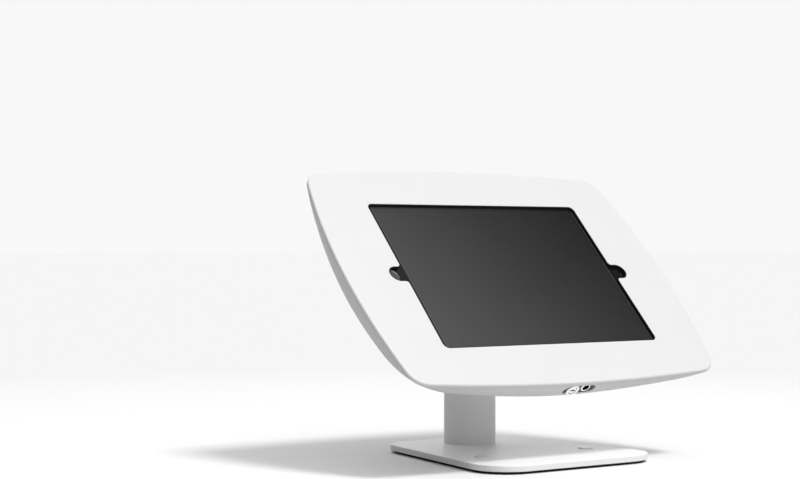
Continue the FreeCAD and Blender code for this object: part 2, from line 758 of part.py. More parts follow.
holes(rear_shell, "ArmHole", arm_hole, f"2 * shellWall - {SHELL_DEEP}", "3 * shellWall")
for spot in corners:
    boss = sketch(rear_shell, "Boss", along=f"-{CHASSIS_BACK}")
    circle(boss, *spot, "bossAcross")
    pad(rear_shell, boss, "bossScrewLong", backwards=True).Type = "UpToFirst"
pilots = [(x, y, "bossScrewAcross + 2 * screwGap") for x, y in corners]
holes(rear_shell, "BossPilots", pilots, f"-{CHASSIS_BACK}", "bossScrewLong")

# Chassis and what it carries

posts = [
    (f"{i} * postOut / sqrt(2)", f"{j} * postOut / sqrt(2) - armBelowMiddle") for i in (-1, 1) for j in (-1, 1)
]
RAIL_FOOT_MIDDLE = "(railFootLow + railTop) / 2"
rail_spots = [(f"{i} * railFootAt", RAIL_FOOT_MIDDLE) for i in (-1, 1)]

chassis = body("chassis_plate", head=True)
sheet_outline = sketch(chassis, "Outline", along=f"-{CHASSIS_BACK}")
rounded_box(sheet_outline, "chassisWide", "chassisHigh", "chassisCorner")
pad(chassis, sheet_outline, "chassisThick")
for i in (-1, 1):
    tab = sketch(chassis, "RailTab", along=f"-{CHASSIS_BACK}")
    tall = "(chassisTabReach + 2 * chassisTabCorner)"
    middle = f"chassisHigh / 2 + chassisTabReach - {tall} / 2"
    rounded_box(tab, "chassisTabWide", tall, "chassisTabCorner", f"{i} * railFootAt", middle)
    pad(chassis, tab, "chassisThick")
slots = sketch(chassis, "LighteningSlots", along=f"-{CHASSIS_FRONT}")
for i in (-1, 1):
    for j in (-0.5, 0.5):
        middle = f"{i} * chassisSlotAt + {j} * chassisSlotPitch"
        rounded_box(slots, "chassisSlotWide", "chassisSlotHigh", "chassisSlotWide / 3", middle)
pocket(chassis, slots, "chassisThick")
chassis_holes = [(x, y, "bossScrewAcross + 2 * screwGap") for x, y in corners]
chassis_holes += [(x, y, "postScrewAcross + 2 * screwGap") for x, y in posts]
chassis_holes += [(x, y, "railScrewAcross + 2 * screwGap") for x, y in rail_spots]
holes(chassis, "Holes", chassis_holes, f"-{CHASSIS_FRONT}", "chassisThick")

foam = body("tablet_foam", head=True)
cushion = sketch(foam, "Outline", along=f"-{CHASSIS_FRONT} + layerGap")
rounded_box(cushion, "tabletWide - 2 * foamInset", "tabletHigh - 2 * foamInset", "tabletCorner")
pad(foam, cushion, "foamThick")
foam_holes = [(x, y, "postScrewHead + 2") for x, y in posts]
holes(foam, "HeadHoles", foam_holes, f"-{TABLET_BACK}", "2 * foamThick")

pads = body("edge_pads", head=True)
BESIDE = "(tabletWide / 2 + padClearance + padThick / 2)"
ABOVE = "(tabletHigh / 2 + padClearance + padThick / 2)"
blocks = sketch(pads, "Blocks", along=f"-{CHASSIS_FRONT}")
for i in (-1, 1):
    for j in (-1, 1):
        for x, y, long, high in (
            (BESIDE, "padUpSide", "padThick", "padLong"),
            ("padAlongTop", ABOVE, "padLong", "padThick"),
        ):
            left, low = f"{i} * {x} - {long} / 2", f"{j} * {y} - {high} / 2"
            box(blocks, left, f"{left} + {long}", low, f"{low} + {high}")
pad(pads, blocks, "padHigh")

screws(
    "boss_screws", corners, f"-{CHASSIS_FRONT}", "bossScrewHead", "bossScrewHeadThick",
    "bossScrewAcross", "bossScrewLong", False,
)

# Rail: a bar with a rounded underside concentric with the hooks, on two feet

RAIL_ROUND = f"({HOOK_INNER} - railClearance)"
RAIL_BACK = "(railFront + railDeep)"


def rail_profile(drawing):
    pivot = Vector(value(PIVOT_UP), -value(PIVOT_BACK), 0)
    radius, front, back = value(RAIL_ROUND), value("railFront"), value(RAIL_BACK)
    top = value("railTop")
    start, end = math.asin(front / radius), math.asin(back / radius)
    nose = pivot - Vector(math.cos(start), math.sin(start), 0) * radius
    tail = pivot - Vector(math.cos(end), math.sin(end), 0) * radius
    pieces = [
        arc(pivot, radius, math.pi + start, math.pi + end),
        Part.LineSegment(tail, Vector(top, tail.y, 0)),
        Part.LineSegment(Vector(top, tail.y, 0), Vector(top, nose.y, 0)),
        Part.LineSegment(Vector(top, nose.y, 0), nose),
    ]
    g = chain(drawing, pieces, "Coincident")
    for index in (1, 3):
        drawing.addConstraint(Sketcher.Constraint("Horizontal", g[index]))
    place(drawing, g[0], 3, PIVOT_UP, f"-{PIVOT_BACK}")
    constrain(drawing, "Radius", g[0], RAIL_ROUND)
    place(drawing, g[2], 1, "railTop", f"-{PIVOT_BACK} - {RAIL_BACK}")
    place(drawing, g[2], 2, "railTop", f"-{PIVOT_BACK} - railFront")


rail = body("hook_rail", head=True)
profile = sketch(rail, "Profile", "YZ_Plane", "-railHalfLong")
rail_profile(profile)
pad(rail, profile, "2 * railHalfLong")
for i in (-1, 1):
    foot = sketch(rail, "Foot", along=f"-{CHASSIS_FRONT}")
    left, right = f"{i} * railFootAt - railFootWide / 2", f"{i} * railFootAt + railFootWide / 2"
    box(foot, left, right, "railFootLow", "railTop")
    pad(rail, foot, f"{CHASSIS_FRONT} - {PIVOT_BACK} - {RAIL_BACK} + railFootDeep")
rail_holes = [(x, y, "railScrewAcross + 2 * screwGap") for x, y in rail_spots]
holes(rail, "Threads", rail_holes, f"-{CHASSIS_FRONT}", "railScrewLong - chassisThick", backwards=True)
screws(
    "rail_screws", rail_spots, f"-{CHASSIS_BACK}", "railScrewHead", "railScrewHeadThick",
    "railScrewAcross", "railScrewLong", True,
)

# Tablet: tray-shaped case, screen, glass, round button and camera lens

button_spot = ("buttonFromEdge - tabletWide / 2", "0")
lens_spot = ("tabletWide / 2 - lensFromEdge", "0")

case = body("tablet_case", head=True)
outline = sketch(case, "Outline", along=f"-{TABLET_BACK}")
rounded_box(outline, "tabletWide", "tabletHigh", "tabletCorner")
pad(case, outline, "tabletThick")
tray = sketch(case, "Tray", along=f"-{TABLET_FRONT}")
rounded_box(tray, "tabletWide - 2 * glassInset", "tabletHigh - 2 * glassInset", "tabletCorner - glassInset")
pocket(case, tray, "glassThick + screenThick")
round_edges(case, edges_at(case, f"-{TABLET_BACK}", lambda p: True), "tabletEdge")

screen = body("display_panel", head=True)
outline = sketch(screen, "Outline", along=f"-{TABLET_FRONT} - glassThick - screenThick")
box(outline, "-screenWide / 2", "screenWide / 2", "-screenHigh / 2", "screenHigh / 2")
pad(screen, outline, "screenThick")

glass = body("tablet_glass", head=True)
outline = sketch(glass, "Outline", along=f"-{TABLET_FRONT} - glassThick")
slim = "2 * (glassInset + layerGap)"
rounded_box(outline, f"tabletWide - {slim}", f"tabletHigh - {slim}", "tabletCorner - glassInset - layerGap")
pad(glass, outline, "glassThick")
glass_holes = [(*button_spot, "buttonAcross + 2 * buttonClearance"), (*lens_spot, "lensAcross")]
holes(glass, "ButtonAndLens", glass_holes, f"-{TABLET_FRONT}", "glassThick")

button = body("home_button", head=True)
discs(button, "Disc", [(*button_spot, "buttonAcross")], f"-{TABLET_FRONT} - buttonThick", "buttonThick")
holes(button, "Dish", [(*button_spot, "buttonAcross - 2 * buttonRim")], f"-{TABLET_FRONT}", "buttonDish")

lens = body("camera_lens", head=True)
discs(lens, "Disc", [(*lens_spot, "lensAcross")], f"-{TABLET_FRONT} - lensThick", "lensThick")

# Lock: barrel through the recess floor, plug that turns in it, half-moon cam on the plug's tail

lock_rest = {"plane": "XZ_Plane"}
barrel = body("lock_barrel", head=True)
discs(barrel, "Body", [(*lock_spot, "lockBody")], LOCK_TAIL, f"{RECESS_FLOOR} - {LOCK_TAIL}", **lock_rest)
discs(barrel, "Ring", [(*lock_spot, "lockRing")], RECESS_FLOOR, "recessDeep + lockProud", **lock_rest)
holes(barrel, "Bore", [(*lock_spot, "lockBore")], LOCK_FACE, f"{LOCK_FACE} - {LOCK_TAIL}", **lock_rest)

nut = body("lock_nut", head=True)
discs(nut, "Nut", [(*lock_spot, "nutAcross")], f"{RECESS_BACK} - nutThick", "nutThick", **lock_rest)
nut_bore = [(*lock_spot, "lockBody + 2 * screwGap")]
holes(nut, "Bore", nut_bore, RECESS_BACK, "nutThick", **lock_rest)

plug = body("lock_plug", head=True)
plug_across = "lockBore - 2 * plugClearance"
plug_face = f"({LOCK_FACE} - plugBelowRing)"
discs(plug, "Plug", [(*lock_spot, plug_across)], LOCK_TAIL, f"{plug_face} - {LOCK_TAIL}", **lock_rest)
discs(plug, "Stub", [(*lock_spot, "stubAcross")], CAM_FAR, f"{LOCK_TAIL} - {CAM_FAR}", **lock_rest)
thread = [(*lock_spot, "camScrewShank + 2 * screwGap")]
holes(plug, "Thread", thread, CAM_FAR, "camScrewLong", backwards=True, **lock_rest)
key = sketch(plug, "KeySlot", "XZ_Plane", plug_face)
box(
    key, "lockX - keySlotLong / 2", "lockX + keySlotLong / 2",
    "-lockBehind - keySlotWide / 2", "-lockBehind + keySlotWide / 2",
)
pocket(plug, key, "keySlotDeep")

cam = body("lock_cam", head=True)
moon = sketch(cam, "HalfMoon", "XZ_Plane", CAM_FAR)
radius, flat = value("camAcross / 2"), value("camFlat")
half = math.acos(flat / radius)
rise = radius * math.sin(half)
centre = Vector(value("lockX"), -value("lockBehind"), 0)
g = [
    moon.addGeometry(arc(centre, radius, half - math.pi, math.pi - half), False),
    moon.addGeometry(
        Part.LineSegment(centre + Vector(-flat, rise, 0), centre + Vector(-flat, -rise, 0)), False
    ),
]
moon.addConstraint(Sketcher.Constraint("Coincident", g[0], 2, g[1], 1))
moon.addConstraint(Sketcher.Constraint("Coincident", g[0], 1, g[1], 2))
moon.addConstraint(Sketcher.Constraint("Vertical", g[1]))
place(moon, g[0], 3, *lock_spot)
constrain(moon, "Radius", g[0], "camAcross / 2")
constrain(moon, "DistanceX", -1, 1, g[1], 1, "lockX - camFlat")
pad(cam, moon, "camThick")
cam_bore = [(*lock_spot, "stubAcross + 2 * screwGap")]
holes(cam, "Bore", cam_bore, CAM_NEAR, "camThick", **lock_rest)

screws(
    "cam_screw", [lock_spot], CAM_FAR, "camScrewHead", "camScrewHeadThick",
    "camScrewShank", "camScrewLong", True, **lock_rest,
)
screws(
    "recess_screw", [screw_spot], RECESS_FLOOR, "recessScrewHead", "recessScrewHeadThick",
    "recessScrewShank", "recessScrewLong", False, **lock_rest,
)

# Arm: a tube up from the base and forward along the face's own axis, then its flange and posts

ARM_SIN, ARM_COS = "sin(tilt * 1 deg)", "cos(tilt * 1 deg)"
ARM_CORNER_DEEP = f"((armBack + headForward + armBelowMiddle * {ARM_COS}) / {ARM_SIN})"
ARM_CORNER_UP = f"(headHeight - armBelowMiddle * {ARM_SIN} - {ARM_CORNER_DEEP} * {ARM_COS})"
BEND_START = f"({ARM_CORNER_UP} - armBend * tan(tilt * 0.5 deg))"
ARM_END_BACK = f"({FLANGE_FRONT} * {ARM_SIN} - headForward - armBelowMiddle * {ARM_COS})"
ARM_END_UP = f"(headHeight - armBelowMiddle * {ARM_SIN} - {FLANGE_FRONT} * {ARM_COS})"

tube = body("arm_tube")
path = sketch(tube, "Path", "YZ_Plane")
turn = math.radians(value("tilt"))
bend_middle = Vector(value("armBack - armBend"), value(BEND_START), 0)
bend_end = bend_middle + Vector(math.cos(turn), math.sin(turn), 0) * value("armBend")
foot = Vector(value("armBack"), value(PLATE_TOP), 0)
run = [
    Part.LineSegment(foot, Vector(foot.x, bend_middle.y, 0)),
    arc(bend_middle, value("armBend"), 0, turn),
    Part.LineSegment(bend_end, Vector(value(ARM_END_BACK), value(ARM_END_UP), 0)),
]
g = [path.addGeometry(piece, False) for piece in run]
path.addConstraint(Sketcher.Constraint("Tangent", g[0], 2, g[1], 1))
path.addConstraint(Sketcher.Constraint("Tangent", g[1], 2, g[2], 1))
path.addConstraint(Sketcher.Constraint("Vertical", g[0]))
place(path, g[0], 1, "armBack", PLATE_TOP)
constrain(path, "Radius", g[1], "armBend")
place(path, g[2], 2, ARM_END_BACK, ARM_END_UP)
ring = sketch(tube, "Ring", along=PLATE_TOP)
circle(ring, "0", "armBack", "tubeAcross")
circle(ring, "0", "armBack", "tubeAcross - 2 * tubeWall")
pipe = tube.newObject("PartDesign::AdditivePipe", "Pipe")
pipe.Profile = ring
pipe.Spine = path

arm_spot = ("0", "-armBelowMiddle")
flange = body("arm_flange", head=True)
discs(flange, "Disc", [(*arm_spot, "flangeAcross")], f"-{FLANGE_BACK}", "flangeThick")
flange_holes = [(*arm_spot, "tubeAcross + 2 * weldGap")]
flange_holes += [(x, y, "postScrewAcross + 2 * screwGap") for x, y in posts]
holes(flange, "Holes", flange_holes, f"-{FLANGE_FRONT}", "flangeThick")

standoffs = body("standoffs", head=True)
post_rings = [(x, y, "postAcross") for x, y in posts]
POST_LONG = f"({FLANGE_FRONT} - {CHASSIS_BACK})"
discs(standoffs, "Posts", post_rings, f"-{FLANGE_FRONT}", POST_LONG)
threads = [(x, y, "postScrewAcross + 2 * screwGap") for x, y in posts]
holes(standoffs, "FrontThreads", threads, f"-{CHASSIS_BACK}", "postScrewLong")
holes(standoffs, "BackThreads", threads, f"-{FLANGE_FRONT}", "postScrewLong", backwards=True)

post_screw = ("postScrewHead", "postScrewHeadThick", "postScrewAcross", "postScrewLong")
screws("standoff_screws", posts, f"-{CHASSIS_FRONT}", *post_screw, False)
screws("flange_screws", posts, f"-{FLANGE_BACK}", *post_screw, True)

grommet = body("arm_grommet", head=True)
grommet_long = "shellWall + 2 * grommetProud"
outer = "tubeAcross + 2 * (grommetWall + grommetGap)"
discs(grommet, "Ring", [(*arm_spot, outer)], f"-{SHELL_DEEP} - grommetProud", grommet_long)
inner = "tubeAcross + 2 * grommetGap"
holes(grommet, "Bore", [(*arm_spot, inner)], f"shellWall + grommetProud - {SHELL_DEEP}", grommet_long)

# Base: tube plug, plate, pad, screws and the two caps over the fixing holes

turns = (90, 210, 330)
base_spots = [
    (f"baseScrewOut * cos({angle} deg)", f"armBack + baseScrewOut * sin({angle} deg)") for angle in turns
]
cable_spot = ("0", "armBack")
fixings = [(f"{i} * fixingX", "-fixingForward") for i in (-1, 1)]

tube_plug = body("tube_plug")
across = "tubeAcross - 2 * (tubeWall + weldGap)"
discs(tube_plug, "Disc", [(*cable_spot, across)], PLATE_TOP, "tubePlugThick")
plug_holes = [(*cable_spot, "cableHole")] + [(x, y, "baseScrewAcross + 2 * screwGap") for x, y in base_spots]
holes(tube_plug, "Holes", plug_holes, f"{PLATE_TOP} + tubePlugThick", "tubePlugThick")


def base_outline(drawing, inset):
    front, back = f"({inset}) - plateDeep / 2", f"plateDeep / 2 - ({inset})"
    wide, narrow = f"(plateFrontHalf - ({inset}))", f"(plateBackHalf - ({inset}))"
    corners = [(f"-{wide}", front), (wide, front), (narrow, back), (f"-{narrow}", back)]
    bends = [f"plateFrontCorner - ({inset})"] * 2 + [f"plateBackCorner - ({inset})"] * 2
    rounded_polygon(drawing, corners, bends)


base_plate = body("base_plate")
outline = sketch(base_plate, "Outline", along="basePadThick")
base_outline(outline, "0")
pad(base_plate, outline, "plateThick")
round_edges(base_plate, edges_at(base_plate, PLATE_TOP, lambda p: True), "plateEdgeRound")
plate_holes = [(*cable_spot, "cableHole")] + [(x, y, "baseScrewAcross + 2 * screwGap") for x, y in base_spots]
plate_holes += [(x, y, "fixingHole") for x, y in fixings]
holes(base_plate, "Holes", plate_holes, PLATE_TOP, "plateThick")
seats = [(x, y, "baseScrewHead + 2 * screwGap") for x, y in base_spots]
holes(base_plate, "ScrewSeats", seats, "basePadThick", "baseScrewHeadThick + screwGap", backwards=True)
cap_seats = [(x, y, "capSpigot + 2 * screwGap") for x, y in fixings]
holes(base_plate, "CapSeats", cap_seats, PLATE_TOP, "capBoreDeep")

base_pad = body("base_pad")
outline = sketch(base_pad, "Outline")
base_outline(outline, "basePadInset")
pad(base_pad, outline, "basePadThick")
pad_holes = [(*cable_spot, "cableHole + 2")] + [(x, y, "fixingHole + 2") for x, y in fixings]
holes(base_pad, "Holes", pad_holes, "basePadThick", "basePadThick")

screws(
    "base_screws", base_spots, "basePadThick + screwGap + baseScrewHeadThick", "baseScrewHead",
    "baseScrewHeadThick", "baseScrewAcross", "baseScrewLong", True, head_frame=False,
)

caps = body("fixing_caps")
discs(caps, "Caps", [(x, y, "capAcross") for x, y in fixings], PLATE_TOP, "capHigh")
round_edges(caps, edges_at(caps, f"{PLATE_TOP} + capHigh", lambda p: True), "capRound")
spigots = [(x, y, "capSpigot") for x, y in fixings]
discs(caps, "Spigots", spigots, PLATE_TOP, "capSpigotLong", backwards=True)

# Checks, then one file for each part

doc.recompute()
for item in doc.Objects:
    if {"Invalid", "Error"} & set(item.State):
        raise RuntimeError(f"{item.Label} failed: {item.State}")
for item in PARTS:
    if item.Shape.isNull() or not item.Shape.isValid():
        raise RuntimeError(f"{item.Label} has no valid shape")
for item in PARTS:
    item.Shape.exportStep(f"parts/{item.Label}.step")
    print(f"{item.Label}: {len(item.Shape.Solids)} solid(s), {item.Shape.Volume:.0f} mm3")
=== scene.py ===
import math

import bmesh
import bpy
from mathutils import Matrix, Vector


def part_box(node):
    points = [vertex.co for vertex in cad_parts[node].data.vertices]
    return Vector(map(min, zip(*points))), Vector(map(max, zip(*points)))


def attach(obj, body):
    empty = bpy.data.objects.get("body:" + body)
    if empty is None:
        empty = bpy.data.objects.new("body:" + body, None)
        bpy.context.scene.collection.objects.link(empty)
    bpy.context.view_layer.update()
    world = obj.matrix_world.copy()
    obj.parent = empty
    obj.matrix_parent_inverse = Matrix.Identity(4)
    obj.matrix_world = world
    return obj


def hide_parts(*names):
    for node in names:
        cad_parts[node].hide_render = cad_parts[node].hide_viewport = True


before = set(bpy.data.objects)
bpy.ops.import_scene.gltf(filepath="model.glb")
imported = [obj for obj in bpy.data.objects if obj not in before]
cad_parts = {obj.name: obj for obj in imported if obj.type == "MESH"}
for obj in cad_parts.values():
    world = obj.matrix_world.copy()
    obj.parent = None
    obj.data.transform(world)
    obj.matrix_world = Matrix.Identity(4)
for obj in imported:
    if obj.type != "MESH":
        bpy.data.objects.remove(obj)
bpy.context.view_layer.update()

# Tablet mount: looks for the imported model. Pieces are modelled in millimetres, most of them lying in
# the head's own frame (x across, y up the face, z out of it), and are scaled and turned into place at
# the end.

print("frame loaded:", len(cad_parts), "nodes")

head = {"tilt": 45.6, "forward": 4.8, "up": 139.2}     # face angle, and where the window's middle is
toMetres = Matrix.Scale(0.001, 4)
headPlace = (
    Matrix.Translation((0, -head["forward"] * 0.001, head["up"] * 0.001))
    @ Matrix.Rotation(math.radians(head["tilt"]), 4, "X")
    @ toMetres
)
lock = {
    "behind": 9.6, "recessLeft": 2.2, "recessRight": 14.5, "recessHalf": 5.8, "recessSlack": 0.03,
    "floor": 104.31, "floorThick": 2.5, "face": 108.71, "tail": 93.81, "paintedShadeFrom": 90,
}
recessScrew = {
    "x": 13.6, "head": 4.1, "headThick": 2.0, "round": 0.5, "shank": 2.0, "long": 7.0,
    "socket": 3.0, "socketDeep": 1.7, "socketRound": 0.15, "socketRim": 0.16, "socketSlack": 0.05,
}
lockPlace = Matrix.Translation((0, 0, -lock["behind"])) @ Matrix.Rotation(math.pi / 2, 4, "X")


# Materials

def linear(hexColour):
    parts = [int(hexColour[i:i + 2], 16) / 255 for i in (1, 3, 5)]
    return [c / 12.92 if c <= 0.04045 else ((c + 0.055) / 1.055) ** 2.4 for c in parts] + [1.0]


def addNode(tree, kind, settings=None, links=None):
    made = tree.nodes.new(kind)
    for name, value in (settings or {}).items():
        if isinstance(name, int) or name in made.inputs:
            made.inputs[name].default_value = value
        else:
            setattr(made, name, value)
    for name, source in (links or {}).items():
        tree.links.new(source, made.inputs[name])
    return made


def material(name, settings):
    made = bpy.data.materials.new(name)
    made.use_nodes = True
    tree = made.node_tree
    tree.nodes.clear()
    shader = addNode(tree, "ShaderNodeBsdfPrincipled", settings)
    addNode(tree, "ShaderNodeOutputMaterial", links={"Surface": shader.outputs[0]})
    place = addNode(tree, "ShaderNodeTexCoord").outputs["Object"]
    return made, tree, shader, place


def calculate(tree, operation, first, second=None):
    # one sum on a socket; a second value, where there is one, is a number or another socket
    settings, links = {"operation": operation}, {0: first}
    if isinstance(second, bpy.types.NodeSocket):
        links[1] = second
    elif second is not None:
        settings[1] = second
    return addNode(tree, "ShaderNodeMath", settings, links).outputs[0]


def blend(tree, share, first, second):
    # from the first colour to the second as share grows; each is a hex string or a socket
    mix = addNode(tree, "ShaderNodeMix", {"data_type": "RGBA"}, {0: share})
    for number, colour in ((6, first), (7, second)):
        if isinstance(colour, str):
            mix.inputs[number].default_value = linear(colour)
        else:
            tree.links.new(colour, mix.inputs[number])
    return mix.outputs[2]


def unevenColour(tree, shader, place, dark, light, size, detail=2.0):
    # two close shades in soft patches, size in millimetres
    noise = addNode(tree, "ShaderNodeTexNoise", {"Scale": 1000 / size, "Detail": detail}, {"Vector": place})
    tree.links.new(blend(tree, noise.outputs["Fac"], dark, light), shader.inputs["Base Color"])


def unevenRoughness(tree, shader, place, low, high, size):
    noise = addNode(tree, "ShaderNodeTexNoise", {"Scale": 1000 / size, "Detail": 3.0}, {"Vector": place})
    settings = {"To Min": low, "To Max": high}
    ranged = addNode(tree, "ShaderNodeMapRange", settings, {"Value": noise.outputs["Fac"]})
    tree.links.new(ranged.outputs[0], shader.inputs["Roughness"])


def grain(tree, shader, place, size, height, strength, kind="ShaderNodeTexNoise"):
    # bumps of that size and height in millimetres
    bumps = addNode(tree, kind, {"Scale": 1000 / size}, {"Vector": place})
    settings = {"Distance": height / 1000, "Strength": strength}
    bump = addNode(tree, "ShaderNodeBump", settings, {"Height": bumps.outputs[0]})
    tree.links.new(bump.outputs[0], shader.inputs["Normal"])


def paintSunkShade(tree, shader, place, left, right, radius, height, side, colour):
    # painted shade in a hollow: darkens what lies within the radius of the lock's axis, or of the strip from
    # left to right of it, and on that side (LESS_THAN or GREATER_THAN) of a height up the face, all in
    # millimetres
    settings = {
        "vector_type": "TEXTURE", "Location": headPlace.to_translation(),
        "Rotation": (math.radians(head["tilt"]), 0, 0),
    }
    inHead = addNode(tree, "ShaderNodeMapping", settings, {"Vector": place})
    axes = addNode(tree, "ShaderNodeSeparateXYZ", links={"Vector": inHead.outputs[0]}).outputs
    settings = {"Min": left / 1000, "Max": right / 1000}
    nearest = addNode(tree, "ShaderNodeClamp", settings, {"Value": axes["X"]}).outputs[0]
    across = calculate(tree, "SUBTRACT", axes["X"], nearest)
    behind = calculate(tree, "ADD", axes["Z"], lock["behind"] / 1000)
    spot = addNode(tree, "ShaderNodeCombineXYZ", links={"X": across, "Z": behind})
    away = addNode(tree, "ShaderNodeVectorMath", {"operation": "LENGTH"}, {0: spot.outputs[0]})
    inside = calculate(tree, "LESS_THAN", away.outputs["Value"], radius / 1000)
    sunk = calculate(tree, side, axes["Y"], height / 1000)
    skin = shader.inputs["Base Color"].links[0].from_socket
    # the painted shade goes where both masks hold
    paintedShadeMask = calculate(tree, "MULTIPLY", inside, sunk)
    tree.links.new(blend(tree, paintedShadeMask, skin, colour), shader.inputs["Base Color"])


def powderCoat(name, dark, light):
    # polyester powder coat on steel, baked: satin white with a faint orange peel two millimetres across
    made, tree, shader, place = material(name, {"Roughness": 0.4, "IOR": 1.5})
    unevenColour(tree, shader, place, dark, light, 34)
    unevenRoughness(tree, shader, place, 0.36, 0.44, 9)
    grain(tree, shader, place, 2.2, 0.005, 0.15)
    return made


def mouldedShell():
    # ABS, injection moulded in a spark-eroded tool: fine satin that blurs highlights, real grain 0.1 mm,
    # drawn six times coarser so that it shows; inside the lock recess a darker grey is painted on as painted
    # shade
    made, tree, shader, place = material("absMouldedWhite", {"Roughness": 0.5, "IOR": 1.53})
    unevenColour(tree, shader, place, "#dcdcdc", "#e0e0e0", 45)
    # painted shade: the lock recess's walls and floor are painted a darker grey
    paintSunkShade(
        tree, shader, place, -lock["recessLeft"], lock["recessRight"],
        lock["recessHalf"] + lock["recessSlack"], -lock["paintedShadeFrom"], "LESS_THAN", "#8e8e8e",
    )
    unevenRoughness(tree, shader, place, 0.44, 0.54, 12)
    grain(tree, shader, place, 0.6, 0.008, 0.8)
    return made


def capPlastic():
    # polypropylene caps, moulded and glossy: small sharp highlights on the rounded rim
    made, tree, shader, place = material("polypropyleneCap", {"Roughness": 0.22, "IOR": 1.49})
    unevenColour(tree, shader, place, "#e2e2e2", "#e8e8e8", 6)
    grain(tree, shader, place, 2.0, 0.004, 0.5)
    return made


def foamBlack():
    # EPDM foam, die cut: open black cells a third of a millimetre across that swallow light
    made, tree, shader, place = material("epdmFoamBlack", {"Roughness": 0.94, "IOR": 1.4})
    unevenColour(tree, shader, place, "#0b0b0b", "#161616", 0.5)
    grain(tree, shader, place, 0.35, 0.05, 0.9, "ShaderNodeTexVoronoi")
    return made


def rubberBlack():
    # natural rubber sheet, calendered: dull black with fine, shallow unevenness
    made, tree, shader, place = material("rubberSheetBlack", {"Roughness": 0.78, "IOR": 1.52})
    unevenColour(tree, shader, place, "#0d0d0d", "#181818", 4)
    grain(tree, shader, place, 0.8, 0.02, 0.7)
    return made


def nylonBlack():
    # nylon, machined bar: satin black with fine tool lines along it
    made, tree, shader, place = material("nylonSatinBlack", {"Roughness": 0.46, "IOR": 1.53})
    unevenColour(tree, shader, place, "#141414", "#1e1e1e", 8)
    stretched = addNode(tree, "ShaderNodeMapping", {"Scale": (0.04, 1, 1)}, {"Vector": place})
    grain(tree, shader, stretched.outputs[0], 0.5, 0.01, 0.7)
    return made


def zincSteel():
    # mild steel sheet, zinc plated: cool grey with cloudy spangle and light rolling lines
    made, tree, shader, place = material("zincPlatedSteel", {"Metallic": 1.0, "Roughness": 0.36})
    unevenColour(tree, shader, place, "#8f9294", "#b3b6b8", 7, 4.0)
    unevenRoughness(tree, shader, place, 0.27, 0.45, 4)
    stretched = addNode(tree, "ShaderNodeMapping", {"Scale": (0.05, 1, 1)}, {"Vector": place})
    grain(tree, shader, stretched.outputs[0], 0.4, 0.006, 0.6)
    return made


def screwSteel():
    # steel screws, zinc plated: darker and smoother than the sheet, slightly patchy
    made, tree, shader, place = material("screwSteelPlated", {"Metallic": 1.0, "Roughness": 0.34})
    unevenColour(tree, shader, place, "#6f7173", "#94979a", 2)
    grain(tree, shader, place, 0.3, 0.004, 0.6)
    return made


def chromePlate(name):
    # bright chrome plate on the lock parts: mirror, a little duller in patches from polishing
    made, tree, shader, place = material(name, {"Metallic": 1.0, "Roughness": 0.1})
    unevenColour(tree, shader, place, "#f0f0f1", "#f8f8f9", 3)
    unevenRoughness(tree, shader, place, 0.07, 0.16, 1.2)
    grain(tree, shader, place, 0.5, 0.001, 0.4)
    return made, tree, shader, place


def socketChrome():
    # the same chrome on the recessed screw, with painted shade that darkens its socket
    made, tree, shader, place = chromePlate("chromePlatedSteel")
    socketTop = lock["floor"] + recessScrew["headThick"] - recessScrew["socketRim"]
    # painted shade inside the screw's socket
    paintSunkShade(
        tree, shader, place, recessScrew["x"], recessScrew["x"],
        recessScrew["socket"] + recessScrew["socketSlack"], -socketTop, "GREATER_THAN", "#454545",
    )
    return made


def turnedBrass():
    # brass nut, turned and left bare: warm metal with fine tool marks
    made, tree, shader, place = material("turnedBrass", {"Metallic": 1.0, "Roughness": 0.28})
    unevenColour(tree, shader, place, "#b08d4c", "#c9a561", 3)
    grain(tree, shader, place, 0.4, 0.006, 0.6)
    return made


def alloy():
    # aluminium, bead blasted and anodised: soft grey with a fine grain
    made, tree, shader, place = material("anodisedAluminium", {"Metallic": 1.0, "Roughness": 0.4})
    unevenColour(tree, shader, place, "#9c9ea1", "#a9abae", 1.0)
    grain(tree, shader, place, 0.3, 0.006, 0.7)
    return made


# what shows through the glass, in metres: the screen's middle, half its width, its soft edge, the painted
# highlight line on that edge, and the way in which the painted sheen lightens the field, from where to where
screenLook = {
    "middle": 0.00135, "half": 0.09635, "soft": 0.00025, "line": 0.0963, "lineHalf": 0.00045,
    "paintedSheen": (-0.000235, 0, -0.00016), "paintedSheenFrom": -0.00005, "paintedSheenTo": 0.00001,
}


